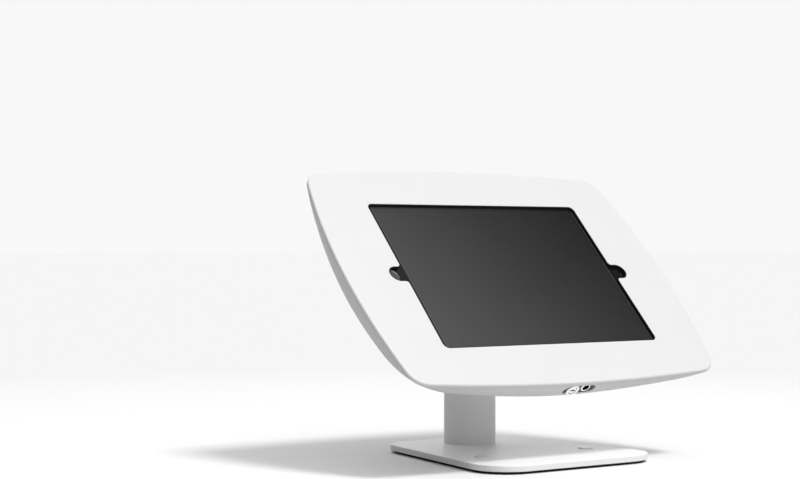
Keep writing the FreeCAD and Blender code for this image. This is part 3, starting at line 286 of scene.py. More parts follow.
def coverGlass():
    # soda-lime cover glass with black ink round the screen: the screen that is off is a lighter grey field
    # with painted sheen that makes it palest at its lower left, and its straight edge has a hair-thin painted
    # highlight line
    made, tree, shader, place = material("coverGlassInked", {"Roughness": 0.05, "IOR": 1.52})
    axes = addNode(tree, "ShaderNodeSeparateXYZ", links={"Vector": place}).outputs
    side = calculate(tree, "ABSOLUTE", calculate(tree, "SUBTRACT", axes["X"], screenLook["middle"]))
    half, soft = screenLook["half"], screenLook["soft"]
    settings = {"From Min": half + soft, "From Max": half - soft}
    screen = addNode(tree, "ShaderNodeMapRange", settings, {"Value": side}).outputs[0]
    settings = {"operation": "COMPARE", 1: screenLook["line"], 2: screenLook["lineHalf"]}
    line = addNode(tree, "ShaderNodeMath", settings, {0: side}).outputs[0]
    settings = {"operation": "DOT_PRODUCT", 1: screenLook["paintedSheen"]}
    along = addNode(tree, "ShaderNodeVectorMath", settings, {0: place}).outputs["Value"]
    settings = {"From Min": screenLook["paintedSheenFrom"], "From Max": screenLook["paintedSheenTo"]}
    paintedSheen = addNode(tree, "ShaderNodeMapRange", settings, {"Value": along}).outputs[0]
    # painted sheen across the screen field and a painted highlight line along its edge
    field = blend(tree, line, blend(tree, paintedSheen, "#222222", "#494949"), "#585858")
    tree.links.new(blend(tree, screen, "#151515", field), shader.inputs["Base Color"])
    unevenRoughness(tree, shader, place, 0.03, 0.08, 40)
    return made


def screenPanel():
    # the screen's own face under the glass: near black with a faint bluish layer
    made, tree, shader, place = material("screenPanelOff", {"Roughness": 0.25, "IOR": 1.5})
    unevenColour(tree, shader, place, "#0b0c0e", "#101114", 20)
    return made


def buttonPlastic():
    # polycarbonate button, moulded and painted: dark grey satin
    made, tree, shader, place = material("buttonSatinGrey", {"Roughness": 0.3, "IOR": 1.55})
    unevenColour(tree, shader, place, "#3a3b3d", "#444547", 3)
    grain(tree, shader, place, 0.5, 0.004, 0.5)
    return made


def lensGlass():
    # camera lens: almost black coated glass
    made, tree, shader, place = material("lensCoatedGlass", {"Roughness": 0.03, "IOR": 1.7})
    unevenColour(tree, shader, place, "#050509", "#0a0a12", 2)
    return made


finishes = {
    "powderCoat": powderCoat("powderCoatWhite", "#dcdcdc", "#e0e0e0"),
    # the same powder coat painted lighter for the arm and base plate: painted light that lifts them out of
    # the head's shade
    "armCoatPaintedLighter": powderCoat("powderCoatPaintedLighter", "#f6f6f6", "#fafafa"),
    "shell": mouldedShell(),
    "cap": capPlastic(),
    "foam": foamBlack(),
    "rubber": rubberBlack(),
    "nylon": nylonBlack(),
    "zinc": zincSteel(),
    "screw": screwSteel(),
    "chrome": chromePlate("chromePlatedBrass")[0],
    "socket": socketChrome(),
    "brass": turnedBrass(),
    "alloy": alloy(),
    "glass": coverGlass(),
    "screen": screenPanel(),
    "button": buttonPlastic(),
    "lens": lensGlass(),
}
print("materials made:", len(finishes))


# Modelling helpers

near = 0.01         # millimetres within which two places count as the same
past = 1            # millimetres by which a cutter passes the face that it starts from
through = 5         # millimetres that a window cutter reaches to either side of the face
overlap = 0.5       # millimetres by which two solids meet before they are joined
almost = 0.999      # share that counts as all of it, or as half a width when its ends are made round


def alone(piece):
    bpy.ops.object.select_all(action="DESELECT")
    piece.select_set(True)
    bpy.context.view_layer.objects.active = piece


def applyPlace(piece, place=None):
    alone(piece)
    if place is not None:
        piece.matrix_world = place
    bpy.ops.object.transform_apply(location=True, rotation=True, scale=True)


def start(name, add, **size):
    bpy.ops.object.select_all(action="DESELECT")
    add(**size)
    piece = bpy.context.active_object
    piece.name = piece.data.name = name
    applyPlace(piece)
    return piece


def pick(piece, kind, test):
    alone(piece)
    bpy.ops.object.mode_set(mode="EDIT")
    bpy.ops.mesh.select_mode(type=kind)
    bpy.ops.mesh.select_all(action="DESELECT")
    mesh = bmesh.from_edit_mesh(piece.data)
    found = 0
    for part in {"VERT": mesh.verts, "EDGE": mesh.edges, "FACE": mesh.faces}[kind]:
        if test(part):
            part.select = True
            found += 1
    mesh.select_flush_mode()
    bmesh.update_edit_mesh(piece.data)
    if not found:
        raise ValueError(f"{piece.name}: nothing picked")


def leave():
    bpy.ops.object.mode_set(mode="OBJECT")


def bevelEdges(piece, test, width, steps):
    pick(piece, "EDGE", test)
    bpy.ops.mesh.bevel(offset=width, offset_type="OFFSET", segments=steps, profile=0.5, affect="EDGES")
    leave()


def upright(edge):
    a, b = edge.verts
    return abs((a.co - b.co).normalized().z) > almost


def level(edge, height):
    return all(abs(v.co.z - height) < near for v in edge.verts)


def sharp(edge, least=50):
    return len(edge.link_faces) == 2 and edge.calc_face_angle(0) > math.radians(least)


def edgesAt(*heights):
    return lambda edge: sharp(edge) and any(level(edge, height) for height in heights)


def facesUp(face):
    return face.normal.z > 0.99


def combine(piece, other, operation="DIFFERENCE"):
    change = piece.modifiers.new("Combine", "BOOLEAN")
    change.operation = operation
    change.solver = "EXACT"
    change.object = other
    alone(piece)
    bpy.ops.object.modifier_apply(modifier=change.name)
    bpy.data.objects.remove(other)


def cylinder(name, x, y, radius, low, top, sides):
    return start(
        name, bpy.ops.mesh.primitive_cylinder_add, vertices=sides, radius=radius, depth=top - low,
        location=(x, y, (low + top) / 2),
    )


def block(name, left, right, low, top, back, front, radius=0.0, steps=0):
    piece = start(
        name, bpy.ops.mesh.primitive_cube_add, size=1,
        location=((left + right) / 2, (low + top) / 2, (back + front) / 2),
        scale=(right - left, top - low, front - back),
    )
    if radius:
        bevelEdges(piece, upright, radius, steps)
    return piece


def rounded(piece, test, radius, steps):
    # rounds upright corners while the sheet is still flat
    pick(piece, "VERT", test)
    bpy.ops.mesh.bevel(offset=radius, offset_type="OFFSET", segments=steps, profile=0.5, affect="VERTICES")
    leave()


def rectangle(name, wide, high):
    piece = start(name, bpy.ops.mesh.primitive_plane_add, size=2, location=(0, 0, 0))
    applyPlace(piece, Matrix.Diagonal((wide, high, 1, 1)))
    return piece


def thicken(piece, back, front):
    pick(piece, "FACE", lambda f: True)
    bpy.ops.transform.translate(value=(0, 0, back))
    bpy.ops.mesh.extrude_region_move(TRANSFORM_OT_translate={"value": (0, 0, front - back)})
    bpy.ops.mesh.select_all(action="SELECT")
    bpy.ops.mesh.normals_make_consistent(inside=False)
    leave()
    return piece


def hollow(piece, wall, even=False):
    # gives an open skin its wall, on the inner side
    change = piece.modifiers.new("Wall", "SOLIDIFY")
    change.thickness = wall
    change.offset = -1
    change.use_even_offset = even
    alone(piece)
    bpy.ops.object.modifier_apply(modifier=change.name)


def smooth(piece, angle, weighted):
    alone(piece)
    bpy.ops.object.shade_smooth_by_angle(angle=math.radians(angle))
    if weighted:
        change = piece.modifiers.new("EvenNormals", "WEIGHTED_NORMAL")
        change.keep_sharp = True
        bpy.ops.object.modifier_apply(modifier=change.name)


def settle(piece, body, finish, node, place, angle=32, weighted=True):
    # scales the finished piece to metres in its place and hands it to the frame
    applyPlace(piece, place)
    smooth(piece, angle, weighted)
    piece.data.materials.clear()
    piece.data.materials.append(finishes[finish])
    low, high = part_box(node)
    corners = [v.co for v in piece.data.vertices]
    off = [1000 * (min(c[i] for c in corners) - low[i]) for i in range(3)]
    off += [1000 * (max(c[i] for c in corners) - high[i]) for i in range(3)]
    print(f"{piece.name}: {len(piece.data.polygons)} faces, box off by", [round(x, 2) for x in off])
    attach(piece, body)
    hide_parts(node)


# Head outline that the faceplate and the shell share

dome = {
    "halfWide": 150.3, "halfHigh": 109.5, "deep": 60.5, "end": 58.5, "rim": 2.7, "wall": 3.0,
    "sideRoundness": 3.5, "sidePower": 2, "topLeast": 1.9, "topRoundness": 12.5, "topPower": 2.5,
    "cornerPower": 0.62, "cornerFade": 0.14, "cornerFadePower": 3,
    "points": 400, "levels": 26,
}


def headOutline(depth):
    # points on four wide arcs joined by four corner arcs, in order of the direction that the edge faces
    share = depth / dome["deep"]
    high = dome["halfHigh"] * math.sqrt(1 - share**2)
    wide = dome["halfWide"] * math.sqrt(1 - share**2)
    side = high * (1 + dome["sideRoundness"] * (1 - share) ** dome["sidePower"])
    top = high * (dome["topLeast"] + dome["topRoundness"] * (1 - share) ** dome["topPower"])
    fade = 1 - dome["cornerFade"] * share ** dome["cornerFadePower"]
    corner = high * share ** dome["cornerPower"] * fade
    sideCentre, topCentre = Vector((wide - side, 0)), Vector((0, high - top))
    across = topCentre - sideCentre
    sideReach, topReach = side - corner, top - corner
    along = (sideReach**2 - topReach**2 + across.length_squared) / (2 * across.length)
    unit = across.normalized()
    sideways = Vector((unit.y, -unit.x)) * math.sqrt(sideReach**2 - along**2)
    middle = sideCentre + unit * along
    cornerCentre = max((middle + sideways, middle - sideways), key=lambda spot: spot.x + spot.y)
    low = math.atan2(cornerCentre.y, cornerCentre.x - sideCentre.x)
    steep = math.atan2(cornerCentre.y - topCentre.y, cornerCentre.x)
    points = []
    for step in range(dome["points"]):
        angle = 2 * math.pi * (step + 0.5) / dome["points"]
        cosine, sine = math.cos(angle), math.sin(angle)
        folded = math.atan2(abs(sine), abs(cosine))
        if folded < low:
            centre, radius = sideCentre, side
        elif folded > steep:
            centre, radius = topCentre, top
        else:
            centre, radius = cornerCentre, corner
        x = centre.x + radius * abs(cosine)
        y = centre.y + radius * abs(sine)
        points.append((math.copysign(x, cosine), math.copysign(y, sine)))
    return points


def reshapeRing(piece, depth, height):
    # moves the selected ring of points onto the head's outline for that depth
    mesh = bmesh.from_edit_mesh(piece.data)
    ring = [v for v in mesh.verts if v.select]
    ring.sort(key=lambda v: math.atan2(v.co.y, v.co.x) % (2 * math.pi))
    for vertex, (x, y) in zip(ring, headOutline(depth)):
        vertex.co = (x, y, height)
    bmesh.update_edit_mesh(piece.data)


def headRing(name, depth, height, fill="NOTHING"):
    # a ring of points on the head's outline, left in edit mode; any first radius will do
    piece = start(
        name, bpy.ops.mesh.primitive_circle_add, vertices=dome["points"], radius=100, fill_type=fill
    )
    pick(piece, "VERT", lambda v: True)
    reshapeRing(piece, depth, height)
    return piece


# Faceplate and its gasket

window = {
    "halfWide": 99.0, "halfHigh": 71.75, "corner": 4.5, "notchDeep": 12.5, "notchHalf": 7.2, "notchRoot": 2.6,
    "edgeRound": 0.4, "lip": 0.8, "gasketWide": 7.5, "gasketGap": 0.1,
    "liner": 0.6, "linerGap": 0.05, "linerFront": -0.25, "linerBack": -1.6, "linerRound": 0.15,
}
faceplate = {"thick": 2.5, "edgeRound": 1.6}


def earedSheet(name, wide, high, reach, tall):
    # a rectangle with a lower ear on each short side, as one flat face
    piece = rectangle(name, wide, high)
    pick(piece, "FACE", lambda f: True)
    for y in (-tall, tall):
        bpy.ops.mesh.select_all(action="SELECT")
        bpy.ops.mesh.bisect(plane_co=(0, y, 0), plane_no=(0, 1, 0))
    leave()

    def onEar(edge, end):
        return all(abs(v.co.x - end) < near and abs(v.co.y) < tall + near for v in edge.verts)

    for side in (-1, 1):
        pick(piece, "EDGE", lambda e: onEar(e, side * wide))
        bpy.ops.mesh.extrude_region_move(TRANSFORM_OT_translate={"value": (side * (reach - wide), 0, 0)})
        leave()
    pick(piece, "FACE", lambda f: True)
    bpy.ops.mesh.remove_doubles(threshold=0.0001)
    bpy.ops.mesh.normals_make_consistent(inside=False)
    bpy.ops.mesh.dissolve_faces()
    leave()
    return piece


def windowBlock(name, grow, back, front):
    wide, high = window["halfWide"] + grow, window["halfHigh"] + grow
    notch, reach = window["notchHalf"] + grow, window["halfWide"] + window["notchDeep"] + grow
    piece = earedSheet(name, wide, high, reach, notch)
    rounded(piece, lambda v: abs(v.co.y) > high - near, window["corner"] + grow, steps=8)
    rounded(piece, lambda v: abs(v.co.x) > reach - near, notch * almost, steps=16)
    rounded(
        piece, lambda v: abs(abs(v.co.x) - wide) < near and abs(abs(v.co.y) - notch) < near,
        window["notchRoot"] - grow, steps=6,
    )
    return thicken(piece, back, front)


def gasketBlock(name, gap, back, front):
    rim = window["gasketWide"] - gap
    wide, high = window["halfWide"] + rim, window["halfHigh"] + rim
    tall = window["notchHalf"] + window["notchRoot"] + rim
    piece = earedSheet(name, wide, high, wide + window["notchDeep"], tall)
    rounded(piece, lambda v: abs(v.co.y) > high - near or abs(v.co.x) > wide + near, rim, steps=8)
    return thicken(piece, back, front)


def makeFaceplate():
    piece = headRing("faceplateSkin", dome["rim"], -faceplate["thick"], fill="NGON")
    bpy.ops.mesh.select_mode(type="FACE")
    bpy.ops.mesh.select_all(action="SELECT")
    bpy.ops.mesh.extrude_region_move(TRANSFORM_OT_translate={"value": (0, 0, faceplate["thick"])})
    bpy.ops.mesh.select_all(action="SELECT")
    bpy.ops.mesh.normals_make_consistent(inside=False)
    leave()
    bevelEdges(piece, edgesAt(0), faceplate["edgeRound"], steps=6)
    combine(piece, gasketBlock("rebateCutter", 0, -faceplate["thick"] - past, -window["lip"]))
    combine(piece, windowBlock("windowCutter", 0, -through, through))
    wide, high = window["halfWide"] + window["notchDeep"], window["halfHigh"]

    def onWindowEdge(edge):
        inside = all(abs(v.co.x) < wide + near and abs(v.co.y) < high + near for v in edge.verts)
        return inside and level(edge, 0) and sharp(edge)

    bevelEdges(piece, onWindowEdge, window["edgeRound"], steps=3)
    settle(piece, "front", "powderCoat", "faceplate", headPlace)


def makeGasket():
    front = window["linerFront"]
    piece = gasketBlock("windowGasketFoam", window["gasketGap"], -faceplate["thick"], -window["lip"])
    combine(piece, windowBlock("linerBlock", -window["linerGap"], window["linerBack"], front), "UNION")
    combine(piece, windowBlock("gasketCutter", -window["liner"], -through, through))
    bevelEdges(piece, edgesAt(front), window["linerRound"], steps=2)
    settle(piece, "front", "foam", "window_gasket", headPlace)


makeFaceplate()
makeGasket()
print("faceplate and gasket made")


# Rear shell

shell = {
    "recessEdge": 0.35, "armDown": 11.0, "armHole": 22.2, "barrelHole": 4.4, "screwHole": 2.1,
    "bossX": 104.0, "bossY": 61.0, "bossRadius": 5.0, "bossFront": -15.9, "bossInWall": 1.2,
    "pilot": 1.85, "pilotDeep": 8.0, "recessEnd": 118, "holesFrom": 95, "holesTo": 106,
    "armHoleLow": -64, "armHoleTop": -50, "bossLook": -12, "pilotTop": -10, "leastAngle": 35,
    "backingMargin": 3.0, "backingLow": -6.8, "backingHigh": 6.9, "backingEnd": 107.9, "backingSlant": 4.0,
}


def shellSkin():
    # rings of points from the rim inwards, closed at the last one and given their wall
    piece = headRing("rearShellSkin", dome["rim"], -dome["rim"])
    first, last = math.asin(dome["rim"] / dome["deep"]), math.asin(dome["end"] / dome["deep"])
    for step in range(1, dome["levels"] + 1):
        depth = dome["deep"] * math.sin(first + (last - first) * step / dome["levels"])
        bpy.ops.mesh.extrude_region_move()
        reshapeRing(piece, depth, -depth)
    bpy.ops.mesh.edge_face_add()
    bpy.ops.mesh.select_all(action="SELECT")
    bpy.ops.mesh.normals_make_consistent(inside=False)
    mesh = bmesh.from_edit_mesh(piece.data)
    deepest = min(mesh.faces, key=lambda f: f.calc_center_median().z)
    if deepest.normal.z > 0:
        bpy.ops.mesh.flip_normals()
    leave()
    hollow(piece, dome["wall"], even=True)
    return piece


def lockBacking():
    # thicker wall behind the lock recess, its outer side inside the skin
    margin = lock["recessHalf"] + shell["backingMargin"]
    piece = block(
        "lockBacking", -lock["recessLeft"] - margin, lock["recessRight"] + margin,
        shell["backingLow"], shell["backingHigh"], lock["floor"] - lock["floorThick"], shell["backingEnd"],
    )
    pick(piece, "VERT", lambda v: v.co.z > shell["backingEnd"] - near and v.co.y < 0)
    bpy.ops.transform.translate(value=(0, 0, -shell["backingSlant"]))
    leave()
    applyPlace(piece, lockPlace)
    return piece


def recessCutter():
    # obround bar that stands on the lock's axis, cut into the shell's lower edge
    half = lock["recessHalf"]
    piece = block(
        "recessCutter", -lock["recessLeft"] - half, lock["recessRight"] + half, -half, half,
        lock["floor"], shell["recessEnd"], radius=half * almost, steps=16,
    )
    applyPlace(piece, lockPlace)
    return piece


def onRecessEdge(edge):
    for v in edge.verts:
        x, y, z = lockPlace.inverted() @ v.co
        away = math.hypot(x - min(max(x, -lock["recessLeft"]), lock["recessRight"]), y)
        if abs(away - lock["recessHalf"]) > lock["recessSlack"] or z < lock["floor"] + past:
            return False
    return sharp(edge, shell["leastAngle"])


def addBoss(piece, x, y):
    # a post with a pilot hole, from inside the wall that a ray finds behind it
    wall = piece.ray_cast(Vector((x, y, shell["bossLook"])), Vector((0, 0, -1)))[1].z
    foot, front = wall - shell["bossInWall"], shell["bossFront"]
    boss = cylinder("boss", x, y, shell["bossRadius"], foot, front, sides=40)
    low, top = front - shell["pilotDeep"], shell["pilotTop"]
    combine(boss, cylinder("pilot", x, y, shell["pilot"], low, top, sides=24))
    combine(piece, boss, "UNION")


def makeShell():
    piece = shellSkin()
    combine(piece, lockBacking(), "UNION")
    combine(piece, recessCutter())
    for x, radius in ((0, shell["barrelHole"]), (recessScrew["x"], shell["screwHole"])):
        hole = cylinder("floorHole", x, 0, radius, shell["holesFrom"], shell["holesTo"], sides=32)
        applyPlace(hole, lockPlace)
        combine(piece, hole)
    low, top = shell["armHoleLow"], shell["armHoleTop"]
    combine(piece, cylinder("armHole", 0, -shell["armDown"], shell["armHole"], low, top, sides=96))
    bevelEdges(piece, onRecessEdge, shell["recessEdge"], steps=2)
    for side in (-1, 1):
        for end in (-1, 1):
            addBoss(piece, side * shell["bossX"], end * shell["bossY"])
    settle(piece, "stand", "shell", "rear_shell", headPlace, angle=38, weighted=False)


makeShell()
print("rear shell made")


# Lock: barrel, plug with its key slot, and the screw beside them

barrel = {"ring": 5.5, "body": 4.3, "bore": 3.3, "round": 0.45}
plug = {
    "radius": 3.24, "face": 108.31, "round": 0.5, "stub": 2.2, "stubEnd": 91.6,
    "keyLong": 4.6, "keyWide": 1.1, "keyDeep": 3.0, "keyEnds": 0.33, "keyRound": 0.12,
    "wardLeft": -0.345, "wardRight": 1.035, "wardLow": 0.33, "wardTop": 1.1, "wardDeep": 0.8,
}


def makeBarrel():
    tail, floor, face = lock["tail"], lock["floor"], lock["face"]
    piece = cylinder("lockBarrelChrome", 0, 0, barrel["ring"], floor, face, sides=72)
    bevelEdges(piece, edgesAt(face), barrel["round"], steps=4)
    combine(piece, cylinder("barrelBody", 0, 0, barrel["body"], tail, floor + overlap, sides=48), "UNION")
    combine(piece, cylinder("barrelBore", 0, 0, barrel["bore"], tail - past, face + past, sides=64))
    bevelEdges(piece, edgesAt(face), barrel["round"], steps=4)
    applyPlace(piece, lockPlace)
    settle(piece, "stand", "chrome", "lock_barrel", headPlace)


def makePlug():
    tail, top = lock["tail"], plug["face"]
    piece = cylinder("lockPlugChrome", 0, 0, plug["radius"], tail, top, sides=64)
    bevelEdges(piece, edgesAt(top), plug["round"], steps=4)
    stub = cylinder("plugStub", 0, 0, plug["stub"], plug["stubEnd"], tail + overlap, sides=32)
    combine(piece, stub, "UNION")
    half, wide = plug["keyLong"] / 2, plug["keyWide"] / 2
    keySlot = block(
        "keySlot", -half, half, -wide, wide, top - plug["keyDeep"], top + past,
        radius=plug["keyEnds"], steps=3,
    )
    combine(piece, keySlot)
    ward = block(
        "keyWard", plug["wardLeft"], plug["wardRight"], plug["wardLow"], plug["wardTop"],
        top - plug["wardDeep"], top + past,
    )
    combine(piece, ward)
    bevelEdges(piece, edgesAt(top), plug["keyRound"], steps=2)
    applyPlace(piece, lockPlace)
    settle(piece, "lock", "chrome", "lock_plug", headPlace)


def makeRecessScrew():
    x, floor = recessScrew["x"], lock["floor"]
    top = floor + recessScrew["headThick"]
    piece = cylinder("recessScrewChrome", x, 0, recessScrew["head"], floor, top, sides=56)
    bevelEdges(piece, edgesAt(top), recessScrew["round"], steps=4)
    end = floor - recessScrew["long"]
    shank = cylinder("screwShank", x, 0, recessScrew["shank"], end, floor + overlap, sides=32)
    combine(piece, shank, "UNION")
    low = top - recessScrew["socketDeep"]
    combine(piece, cylinder("screwSocket", x, 0, recessScrew["socket"], low, top + past, sides=6))
    bevelEdges(piece, edgesAt(top), recessScrew["socketRound"], steps=2)
    applyPlace(piece, lockPlace)
    settle(piece, "stand", "socket", "recess_screw", headPlace)


makeBarrel()
makePlug()
makeRecessScrew()
print("lock made")


# Button and camera lens in the two notches

tabletFace = -2.6
button = {"x": -109.0, "radius": 6.7, "thick": 1.0, "round": 0.25, "rim": 0.55, "slope": 0.3, "dish": 0.2}
lens = {
    "x": 110.0, "radius": 2.6, "thick": 0.9, "rim": 0.5, "slope": 0.15, "sunk": 0.3,
    "domeIn": 0.8, "domeHigh": 0.18,
}


def makeButton():
    back = tabletFace - button["thick"]
    piece = cylinder("homeButtonDisc", button["x"], 0, button["radius"], back, tabletFace, sides=72)
    bevelEdges(piece, edgesAt(tabletFace), button["round"], steps=3)
    pick(piece, "FACE", facesUp)
    bpy.ops.mesh.inset(thickness=button["rim"])
    bpy.ops.mesh.inset(thickness=button["slope"], depth=-button["dish"])
    leave()
    settle(piece, "button", "button", "home_button", headPlace, angle=60)


def makeLens():
    back = tabletFace - lens["thick"]
    piece = cylinder("cameraLensDome", lens["x"], 0, lens["radius"], back, tabletFace, sides=48)
    pick(piece, "FACE", facesUp)
    bpy.ops.mesh.inset(thickness=lens["rim"])
    bpy.ops.mesh.inset(thickness=lens["slope"], depth=-lens["sunk"])
    bpy.ops.mesh.inset(thickness=lens["domeIn"], depth=lens["domeHigh"])
    leave()
    settle(piece, "stand", "lens", "camera_lens", headPlace, angle=40)


makeButton()
makeLens()
print("button and lens made")


# Arm: one tube bent once, and the rubber ring where it enters the shell

arm = {
    "radius": 20.0, "wall": 2.5, "back": 50.3, "foot": 6.5, "bend": 50.0, "bendStart": 48.83,
    "end": (21.084, 98.457), "sides": 96, "bendSteps": 36,
}
grommet = {"outer": 22.1, "inner": 20.1, "low": -59.5, "top": -54.5, "round": 0.6}


def makeArm():
    turn, middle = math.radians(head["tilt"]), arm["back"] - arm["bend"]
    tube = start(
        "armTubePipe", bpy.ops.mesh.primitive_circle_add, vertices=arm["sides"], radius=arm["radius"],
        location=(0, arm["back"], arm["foot"]),
    )
    pick(tube, "EDGE", lambda e: True)
    bpy.ops.mesh.extrude_region_move(TRANSFORM_OT_translate={"value": (0, 0, arm["bendStart"] - arm["foot"])})
    bpy.ops.mesh.spin(
        steps=arm["bendSteps"], angle=turn, center=(0, middle, arm["bendStart"]), axis=(-1, 0, 0)
    )
    bendEnd = Vector((
        0, middle + arm["bend"] * math.cos(turn), arm["bendStart"] + arm["bend"] * math.sin(turn)
    ))
    bpy.ops.mesh.extrude_region_move(TRANSFORM_OT_translate={"value": Vector((0, *arm["end"])) - bendEnd})
    bpy.ops.mesh.select_all(action="SELECT")
    bpy.ops.mesh.remove_doubles(threshold=0.001)
    bpy.ops.mesh.normals_make_consistent(inside=False)
    leave()
    hollow(tube, arm["wall"])
    # the arm takes the lighter copy of the powder coat, painted light
    settle(tube, "stand", "armCoatPaintedLighter", "arm_tube", toMetres)


def makeGrommet():
    low, top = grommet["low"], grommet["top"]
    y = -shell["armDown"]
    ring = cylinder("armGrommetRing", 0, y, grommet["outer"], low, top, sides=96)
    combine(ring, cylinder("grommetBore", 0, y, grommet["inner"], low - past, top + past, sides=96))
    bevelEdges(ring, edgesAt(low, top), grommet["round"], steps=4)
    settle(ring, "stand", "rubber", "arm_grommet", headPlace)


makeArm()
makeGrommet()
print("arm made")


# Base plate, its rubber pad and the two caps

base = {
    "deep": 171.6, "frontHalf": 80.5, "backHalf": 57.1, "frontCorner": 28.4, "backCorner": 20.0,
    "thick": 4.5, "topRound": 0.8, "lowRound": 0.3, "cable": 7.0,
    "screwOut": 12.2, "screw": 2.6, "screwSeat": 4.6, "screwSeatDeep": 2.7,
    "fixingX": 48.8, "fixingY": -30.5, "fixing": 3.25, "capSeat": 4.9, "capSeatDeep": 2.2,
}
pad = {"thick": 2.0, "inset": 3.0, "round": 0.25, "holesWider": 1.0}
cap = {"radius": 5.5, "high": 0.9, "round": 0.5, "spigot": 4.8, "spigotLong": 1.6, "overlap": 0.3}
fixings = [(side * base["fixingX"], base["fixingY"]) for side in (-1, 1)]
plateLow, plateTop = pad["thick"], pad["thick"] + base["thick"]


def basePlateBlock(name, inset, low, top):
    front, back = base["frontHalf"] - inset, base["backHalf"] - inset
    piece = rectangle(name, front, base["deep"] / 2 - inset)
    pick(piece, "VERT", lambda v: v.co.y > 0)
    bpy.ops.transform.resize(value=(back / front, 1, 1))
    leave()
    lean = math.atan2(base["frontHalf"] - base["backHalf"], base["deep"])
    end = base["deep"] / 2 - inset - near
    for ahead, radius, half in (
        (True, base["frontCorner"], math.pi / 4 - lean / 2),
        (False, base["backCorner"], math.pi / 4 + lean / 2),
    ):
        # a corner of that radius starts this far along each side
        along = (radius - inset) / math.tan(half)
        rounded(piece, lambda v: (v.co.y < 0) == ahead and abs(v.co.y) > end, along, steps=20)
    return thicken(piece, low, top)


def makeBasePlate():
    below, above = plateLow - past, plateTop + past
    plate = basePlateBlock("basePlateSheet", 0, plateLow, plateTop)
    bevelEdges(plate, edgesAt(plateTop), base["topRound"], steps=4)
    bevelEdges(plate, edgesAt(plateLow), base["lowRound"], steps=2)
    combine(plate, cylinder("cableHole", 0, arm["back"], base["cable"], below, above, sides=48))
    screwSeatTop = plateLow + base["screwSeatDeep"]
    for angle in (90, 210, 330):
        x = base["screwOut"] * math.cos(math.radians(angle))
        y = arm["back"] + base["screwOut"] * math.sin(math.radians(angle))
        combine(plate, cylinder("screwHole", x, y, base["screw"], below, above, sides=32))
        combine(plate, cylinder("screwSeat", x, y, base["screwSeat"], below, screwSeatTop, sides=32))
    capSeatLow = plateTop - base["capSeatDeep"]
    for x, y in fixings:
        combine(plate, cylinder("fixingHole", x, y, base["fixing"], below, above, sides=40))
        combine(plate, cylinder("capSeat", x, y, base["capSeat"], capSeatLow, above, sides=40))
    # the base plate takes the lighter copy of the powder coat, painted light
    settle(plate, "stand", "armCoatPaintedLighter", "base_plate", toMetres)


def makeBasePad():
    piece = basePlateBlock("basePadSheet", pad["inset"], 0, pad["thick"])
    bevelEdges(piece, edgesAt(0), pad["round"], steps=2)
    wider, above = pad["holesWider"], pad["thick"] + past
    combine(piece, cylinder("padCableHole", 0, arm["back"], base["cable"] + wider, -past, above, sides=48))
    for x, y in fixings:
        combine(piece, cylinder("padFixingHole", x, y, base["fixing"] + wider, -past, above, sides=40))
    settle(piece, "stand", "rubber", "base_pad", toMetres)


def makeCaps():
    caps, top = [], plateTop + cap["high"]
    end = plateTop - cap["spigotLong"]
    for x, y in fixings:
        disc = cylinder("fixingCapDiscs", x, y, cap["radius"], plateTop, top, sides=56)
        bevelEdges(disc, edgesAt(top), cap["round"], steps=5)
        spigot = cylinder("capSpigot", x, y, cap["spigot"], end, plateTop + cap["overlap"], sides=40)
        combine(disc, spigot, "UNION")
        caps.append(disc)
    alone(caps[0])
    caps[1].select_set(True)
    bpy.ops.object.join()
    settle(caps[0], "stand", "cap", "fixing_caps", toMetres)


makeBasePlate()
makeBasePad()
makeCaps()
print("base made")


# Nodes that keep their own shape get a finish

nodeFinishes = {
    "hook_tabs": "powderCoat", "latch_bracket": "zinc", "chassis_plate": "zinc", "hook_rail": "nylon",
    "rail_screws": "screw", "tablet_foam": "foam", "edge_pads": "rubber", "boss_screws": "screw",
    "standoffs": "alloy", "standoff_screws": "screw", "flange_screws": "screw", "tablet_case": "alloy",
    "display_panel": "screen", "tablet_glass": "glass", "lock_cam": "zinc", "cam_screw": "screw",
    "lock_nut": "brass", "arm_flange": "zinc", "tube_plug": "zinc", "base_screws": "screw",
}
for name, finish in nodeFinishes.items():
    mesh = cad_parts[name].data
    mesh.materials.clear()
    mesh.materials.append(finishes[finish])
shown = [name for name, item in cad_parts.items() if not item.hide_render]
print("nodes left to dress:", sorted(set(shown) - set(nodeFinishes)))


# Floor, light and camera

# the floor is painted lighter near the part and darker far off, a painted pool of light that fades from near
# to far over those metres, and what it throws back on the part is duller
stage = {
    "floor": 60, "near": "#f0f0f0", "far": "#e1e1e1", "fadeFrom": 0.15, "fadeTo": 1.0,
    "bounce": "#c8c8c8", "backdrop": "#f8f8f8",
}
# the room's lights by direction: the way to each one's middle, then brightness by how far a direction agrees
roomLights = {
    "softBox": ((0, -0.568, 0.823), ((0.0, 0.08), (0.66, 0.08), (0.7, 0.3), (0.76, 0.95), (0.82, 1.15))),
    "paperSheet": ((0.55, 0.81, 0.2), ((0.74, 0.03), (0.9, 1.0))),
    "overhead": ((0, 0.35, 0.937), ((0.84, 0.0), (0.93, 1.3))),
}
# the main lamp, above the front: strength, softness, turn from the front, height
lamp = {"strength": 1.7, "soft": 14, "turn": 25, "height": 61}
view = {"lens": 78.8, "sensor": 36, "turn": 34.25, "pitch": 90.22, "from": (-0.8102, -1.0387, 0.0196)}


def levelRamp(tree, source, levels):
    # a ramp holds values up to one, so the levels are scaled back afterwards
    most = max(bright for _, bright in levels)
    ramp = addNode(tree, "ShaderNodeValToRGB", links={"Fac": source})
    while len(ramp.color_ramp.elements) < len(levels):
        ramp.color_ramp.elements.new(0.5)
    for element, (spot, bright) in zip(ramp.color_ramp.elements, levels):
        element.position = spot
        element.color = (bright / most, bright / most, bright / most, 1)
    return calculate(tree, "MULTIPLY", ramp.outputs[0], most)


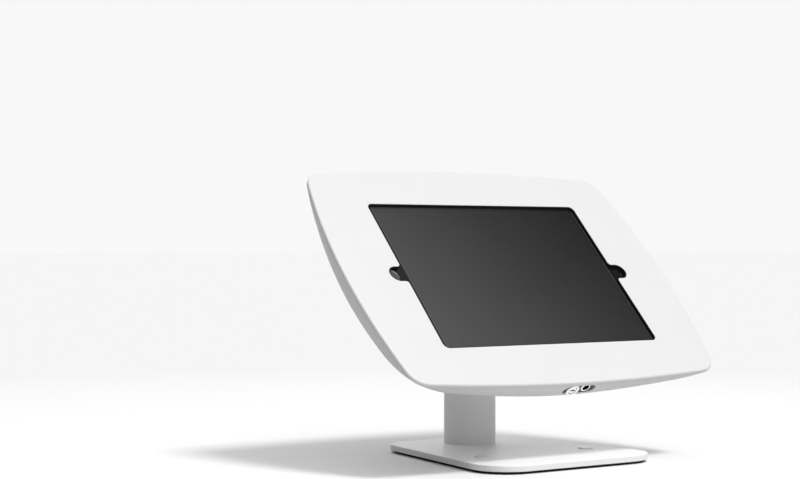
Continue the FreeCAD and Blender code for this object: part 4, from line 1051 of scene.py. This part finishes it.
def makeFloor():
    floor = start("studioFloor", bpy.ops.mesh.primitive_plane_add, size=stage["floor"], location=(0, 0, 0))
    made, tree, shader, place = material("paperFloor", {"Roughness": 1.0, "Specular IOR Level": 0.0})
    away = addNode(tree, "ShaderNodeVectorMath", {"operation": "LENGTH"}, {0: place})
    # painted pool of light: the paper is painted lighter near the mount, fading to the far colour
    settings = {"From Min": stage["fadeFrom"], "From Max": stage["fadeTo"]}
    fade = addNode(tree, "ShaderNodeMapRange", settings, {"Value": away.outputs["Value"]})
    paper = blend(tree, fade.outputs[0], stage["near"], stage["far"])
    ray = addNode(tree, "ShaderNodeLightPath")
    look = blend(tree, ray.outputs["Is Camera Ray"], stage["bounce"], paper)
    tree.links.new(look, shader.inputs["Base Color"])
    floor.data.materials.append(made)


def makeWorld():
    world = bpy.data.worlds.new("softStudio")
    bpy.context.scene.world = world
    world.use_nodes = True
    tree = world.node_tree
    tree.nodes.clear()
    place = addNode(tree, "ShaderNodeTexCoord").outputs["Generated"]
    bright = None
    for way, levels in roomLights.values():
        agrees = addNode(tree, "ShaderNodeVectorMath", {"operation": "DOT_PRODUCT", 1: way}, {0: place})
        one = levelRamp(tree, agrees.outputs["Value"], levels)
        bright = one if bright is None else calculate(tree, "MAXIMUM", bright, one)
    lit = addNode(tree, "ShaderNodeBackground", links={"Color": bright})
    seen = addNode(tree, "ShaderNodeBackground", {"Color": linear(stage["backdrop"])})
    ray = addNode(tree, "ShaderNodeLightPath")
    links = {0: ray.outputs["Is Camera Ray"], 1: lit.outputs[0], 2: seen.outputs[0]}
    mix = addNode(tree, "ShaderNodeMixShader", links=links)
    addNode(tree, "ShaderNodeOutputWorld", links={"Surface": mix.outputs[0]})


def makeLampAndCamera():
    sun = bpy.data.objects.new("mainLamp", bpy.data.lights.new("mainLamp", "SUN"))
    sun.data.energy = lamp["strength"]
    sun.data.angle = math.radians(lamp["soft"])
    sun.rotation_euler = (math.radians(90 - lamp["height"]), 0, math.radians(lamp["turn"]))
    bpy.context.scene.collection.objects.link(sun)

    camera = bpy.data.objects.new("photoCamera", bpy.data.cameras.new("photoCamera"))
    camera.data.lens = view["lens"]
    camera.data.sensor_width = view["sensor"]
    camera.location = headPlace.to_translation() + Vector(view["from"])
    camera.rotation_euler = (math.radians(view["pitch"]), 0, math.radians(-view["turn"]))
    bpy.context.scene.collection.objects.link(camera)
    bpy.context.scene.camera = camera
    bpy.context.scene.view_settings.view_transform = "Standard"


makeFloor()
makeWorld()
makeLampAndCamera()
print("stage made")
